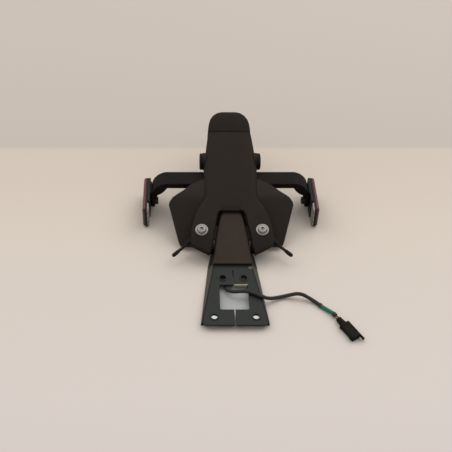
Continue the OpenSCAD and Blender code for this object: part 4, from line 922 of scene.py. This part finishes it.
# The locating pegs: steel rods in black rubber boots, thicker at the tip, pressed into the prongs'
# corners. They find their holes in the seat tail as the part is fitted.
PEG_X, PEG_U, PEG_OUT, PEG_LIFT = 49.7, 27.4, math.radians(47), math.radians(3)
PEG_LINE = np.array([math.sin(PEG_OUT) * math.cos(PEG_LIFT), -math.cos(PEG_OUT) * math.cos(PEG_LIFT),
                     math.sin(PEG_LIFT)])
peg = [(0.02, -4.6), (2.0, -4.6), (2.0, 0.02), (2.9, 0.05), (3.0, 0.3), (3.0, 1.1), (2.75, 1.42), (2.1, 1.5),
       (1.7, 2.2), (1.62, 13.0), (1.7, 13.6), (2.15, 14.0), (2.2, 15.2), (2.05, 15.5), (2.2, 15.8),
       (2.25, 20.5), (2.1, 21.9), (1.6, 22.8), (0.9, 23.2), (0.02, 23.3)]
for word, side in (("left", -1), ("right", 1)):
    tip = on_slope(side * PEG_LINE[0], PEG_LINE[1], PEG_LINE[2])
    axis = (tip - on_slope(0.0, 0.0, 0.0)) / MM
    peg_grid = turned_grid(peg, on_slope(side * PEG_X, PEG_U, 0.0), axis, 28)
    shell(f"{word}_locating_pin", [peg_grid], rubber, [f"{word}_locating_peg"])


# The rest of the fasteners: zinc nuts under the covers and the seat, blackened screws in the cap
# and the hump, and the two bolts that hold the bracket and the panel on the seat.
for name in ("cover_nuts", "bracket_nuts"):
    dress(name, zinc, 0.25)
for name in ("reflector_nuts", "cap_screws", "hump_screws", "bracket_bolts"):
    dress(name, blackened, 0.2)


# The lamp in the cap: a clear lens in a rubber frame, a green circuit board behind it and three
# pale LEDs on the board. The clip under the plate and the lead in the arm are black too.
lens_clear = moulded("lamp lens", (0.42, 0.40, 0.37), 3.0, 0.15, 0.05, gloss=0.5)
board = Finish("circuit board", Specular_IOR_Level=0.4, Roughness=0.4)
board_spots = board.noise(1.2, 3.0).step(0.55, 0.1)
board.set(Base_Color=board.between(board_spots, (0.008, 0.09, 0.035), (0.02, 0.15, 0.06)))
led = moulded("LED face", (0.75, 0.70, 0.45), 0.8, 0.3, 0.01)
brass = Finish("brass", Metallic=1.0)
brass.set(Base_Color=brass.between(brass.noise(1.5, 3.0), (0.42, 0.28, 0.10), (0.66, 0.48, 0.20)),
          Roughness=0.3 + brass.noise(0.8) * 0.15)
dress("lamp_lens", lens_clear, 0.4)
dress("lamp_board", board, 0.15)
dress("lamp_leds", led, 0.2)
dress("lamp_gasket", rubber, 0.1)
dress("lead_clip", rubber, 0.4)
dress("lamp_lead", jacket, 0.1)
dress("connector_terminals", brass, 0.1)


# The table and the light: one pale sheet whose far part is darker, and large soft lamps.
TABLE_HALF = 6.0
TABLE_FRONT, TABLE_MIDDLE, TABLE_BACK = (0.615, 0.565, 0.535), (0.572, 0.512, 0.455), (0.512, 0.448, 0.393)
WALL_COLOUR, UNDER_PLATE = (0.445, 0.402, 0.365), (0.380, 0.390, 0.395)
SWEEP_Y = 0.158
WINDOW_Y, WINDOW_HALF_L, WINDOW_HALF_W = -0.1045, 0.020, 0.019
BORE_X, BORE_Y, BORE_R = 0.0218, -0.1262, 0.0075


def table_finish():
    """Colours that change along the table, a cooler shade where the plate's window lies over it, and
    two painted bright discs of light under the bores of the plate's front bushes, which glow."""
    finish = Finish("table", Roughness=0.75, Specular_IOR_Level=0.15)
    mottle = finish.noise(90, 3.0)
    across, along = finish.axis(0), finish.axis(1)
    front = finish.between(along.step(-0.12, 0.22), TABLE_FRONT, TABLE_MIDDLE)
    near = finish.between(along.step(0.07, 0.16), front, TABLE_BACK)
    near = finish.between(mottle * 0.05, near, (0.5, 0.46, 0.42))
    colour = finish.between(along.step(SWEEP_Y, 0.008), near, WALL_COLOUR)
    inside = 1 - abs(across).step(WINDOW_HALF_W, 0.006)
    inside = inside * (1 - abs(along - WINDOW_Y).step(WINDOW_HALF_L, 0.006))
    colour = finish.between(inside, colour, UNDER_PLATE)
    # Painted light: two bright discs on the table under the front bushes' bores, which also glow.
    off_bore = (abs(abs(across) - BORE_X) ** 2 + abs(along - BORE_Y) ** 2) ** 0.5
    lit = 1 - off_bore.step(BORE_R, 0.002)
    finish.set(Base_Color=finish.between(lit, colour, (0.95, 0.94, 0.93)), Emission_Strength=1.0,
               Emission_Color=finish.between(lit, (0.0, 0.0, 0.0), (0.60, 0.60, 0.60)))
    return finish


table_mesh = bpy.data.meshes.new("table")
table_corners = [(x * TABLE_HALF, y * TABLE_HALF, 0) for x, y in ((-1, -1), (1, -1), (1, 1), (-1, 1))]
table_mesh.from_pydata(table_corners, [], [(0, 1, 2, 3)])
table_mesh.materials.append(table_finish().material)
table = bpy.data.objects.new("table", table_mesh)
bpy.context.scene.collection.objects.link(table)


def lamp(name, at, size, watts, colour=(1, 1, 1), aim=(0, 0, 0.03)):
    """A rectangular soft lamp that faces the part."""
    light = bpy.data.lights.new(name, "AREA")
    light.shape = "RECTANGLE"
    light.size, light.size_y = size
    light.energy = watts
    light.color = colour
    made = bpy.data.objects.new(name, light)
    made.location = at
    made.rotation_mode = "QUATERNION"
    made.rotation_quaternion = (Vector(aim) - Vector(at)).to_track_quat("-Z", "Y")
    bpy.context.scene.collection.objects.link(made)


lamp("right key", (0.75, 0.70, 1.30), (1.6, 1.6), 17.6, (1.0, 0.97, 0.94))
lamp("left key", (-0.85, 0.65, 1.25), (1.6, 1.6), 13.2, (1.0, 0.97, 0.94))
world = bpy.data.worlds.new("room")
world.use_nodes = True
world.node_tree.nodes["Background"].inputs["Color"].default_value = (0.95, 0.94, 0.92, 1)
world.node_tree.nodes["Background"].inputs["Strength"].default_value = 0.58
bpy.context.scene.world = world
bpy.context.scene.view_settings.view_transform = "Standard"
